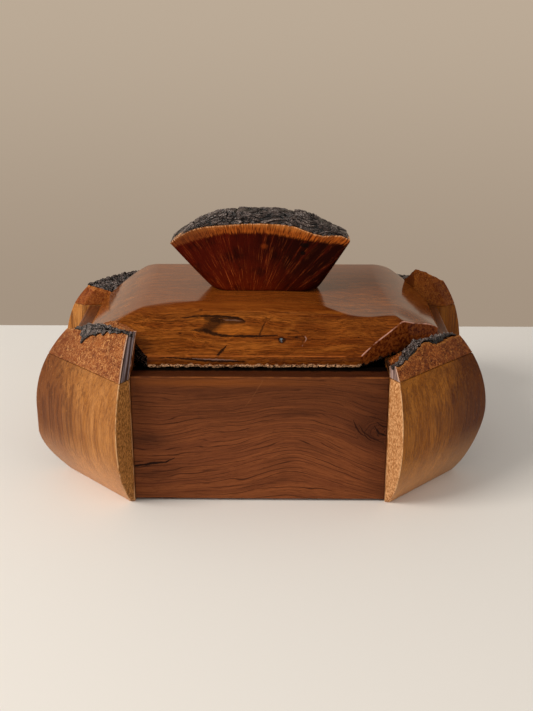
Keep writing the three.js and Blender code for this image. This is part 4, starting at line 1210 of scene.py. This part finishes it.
def stage_plane(name, low, high, colour):
    """A flat rectangle on the table's level, not part of the object."""
    mesh = bpy.data.meshes.new(name)
    (x0, y0), (x1, y1) = low, high
    mesh.from_pydata([(x0, y0, 0), (x1, y0, 0), (x1, y1, 0), (x0, y1, 0)], [], [(0, 1, 2, 3)])
    made = bpy.data.objects.new(name, mesh)
    bpy.context.scene.collection.objects.link(made)
    material = blank_material(name)
    shader = add(material.node_tree, "BsdfPrincipled", {"Base Color": colour, "Roughness": 0.6})
    add(material.node_tree, "OutputMaterial", [shader])
    made.data.materials.append(material)


stage_plane("pale_table", (-4.0, -4.0), (4.0, 0.25), "#ebe6e0")


def soft_lamp(name, place, size, power, colour):
    """A large square lamp aimed at the middle of the box."""
    data = bpy.data.lights.new(name, "AREA")
    data.shape, data.size, data.energy, data.color = "SQUARE", size, power, linear(colour)[:3]
    lamp = bpy.data.objects.new(name, data)
    lamp.location = place
    aim = np.array([0.0, 0.0, 0.07]) - np.array(place)
    lamp.rotation_euler = (math.atan2(math.hypot(aim[0], aim[1]), -aim[2]), 0, math.atan2(-aim[0], aim[1]))
    bpy.context.scene.collection.objects.link(lamp)


soft_lamp("window_lamp", (-1.35, -0.75, 1.15), 0.8, 27.0, "#fffaf2")
soft_lamp("fill_lamp", (1.3, -1.2, 0.9), 1.0, 4.0, "#fffaf2")

world = bpy.data.worlds.new("room")
world.use_nodes = True
room = world.node_tree
room.nodes.clear()
rays_seen = add(room, "LightPath")
shown = 0.0
for kind in ("Camera", "Glossy", "Transmission"):
    shown = add(room, "Math", [shown, (rays_seen, f"Is {kind} Ray")], operation="MAXIMUM")
heading = add(room, "SeparateXYZ", [(add(room, "TexCoord"), "Generated")])
wall = coats(
    room, "#a39280",
    ("#bcab97", ramp(room, (heading, 2), -0.33, 0.0)),
    ("#2c2722", ramp(room, (heading, 2), 0.3, 0.7)),
    ("#2c2722", ramp(room, (heading, 1), 0.15, -0.25, 0.9)),
)
soft = add(room, "Background", ["#f8f4ee", 0.52])
backdrop = add(room, "Background", [wall, 1.0])
add(room, "OutputWorld", [add(room, "MixShader", [shown, soft, backdrop])])
bpy.context.scene.world = world
bpy.context.scene.view_settings.view_transform = "Standard"

# The photograph's view: its height and the fitted focal length in pixels, degrees looking down and askew
PICTURE_HEIGHT, FOCAL_LENGTH = 711, 1050
LOOKING_DOWN, ASKEW = 20.65, 0.55
camera_data = bpy.data.cameras.new("camera")
camera_data.lens = camera_data.sensor_width * FOCAL_LENGTH / PICTURE_HEIGHT
camera_data.clip_start, camera_data.clip_end = 0.02, 20.0
camera = bpy.data.objects.new("camera", camera_data)
camera.location = (0.01005, -0.6952, 0.3262)
camera.rotation_euler = (math.radians(90 - LOOKING_DOWN), 0, math.radians(ASKEW))
bpy.context.scene.collection.objects.link(camera)
bpy.context.scene.camera = camera
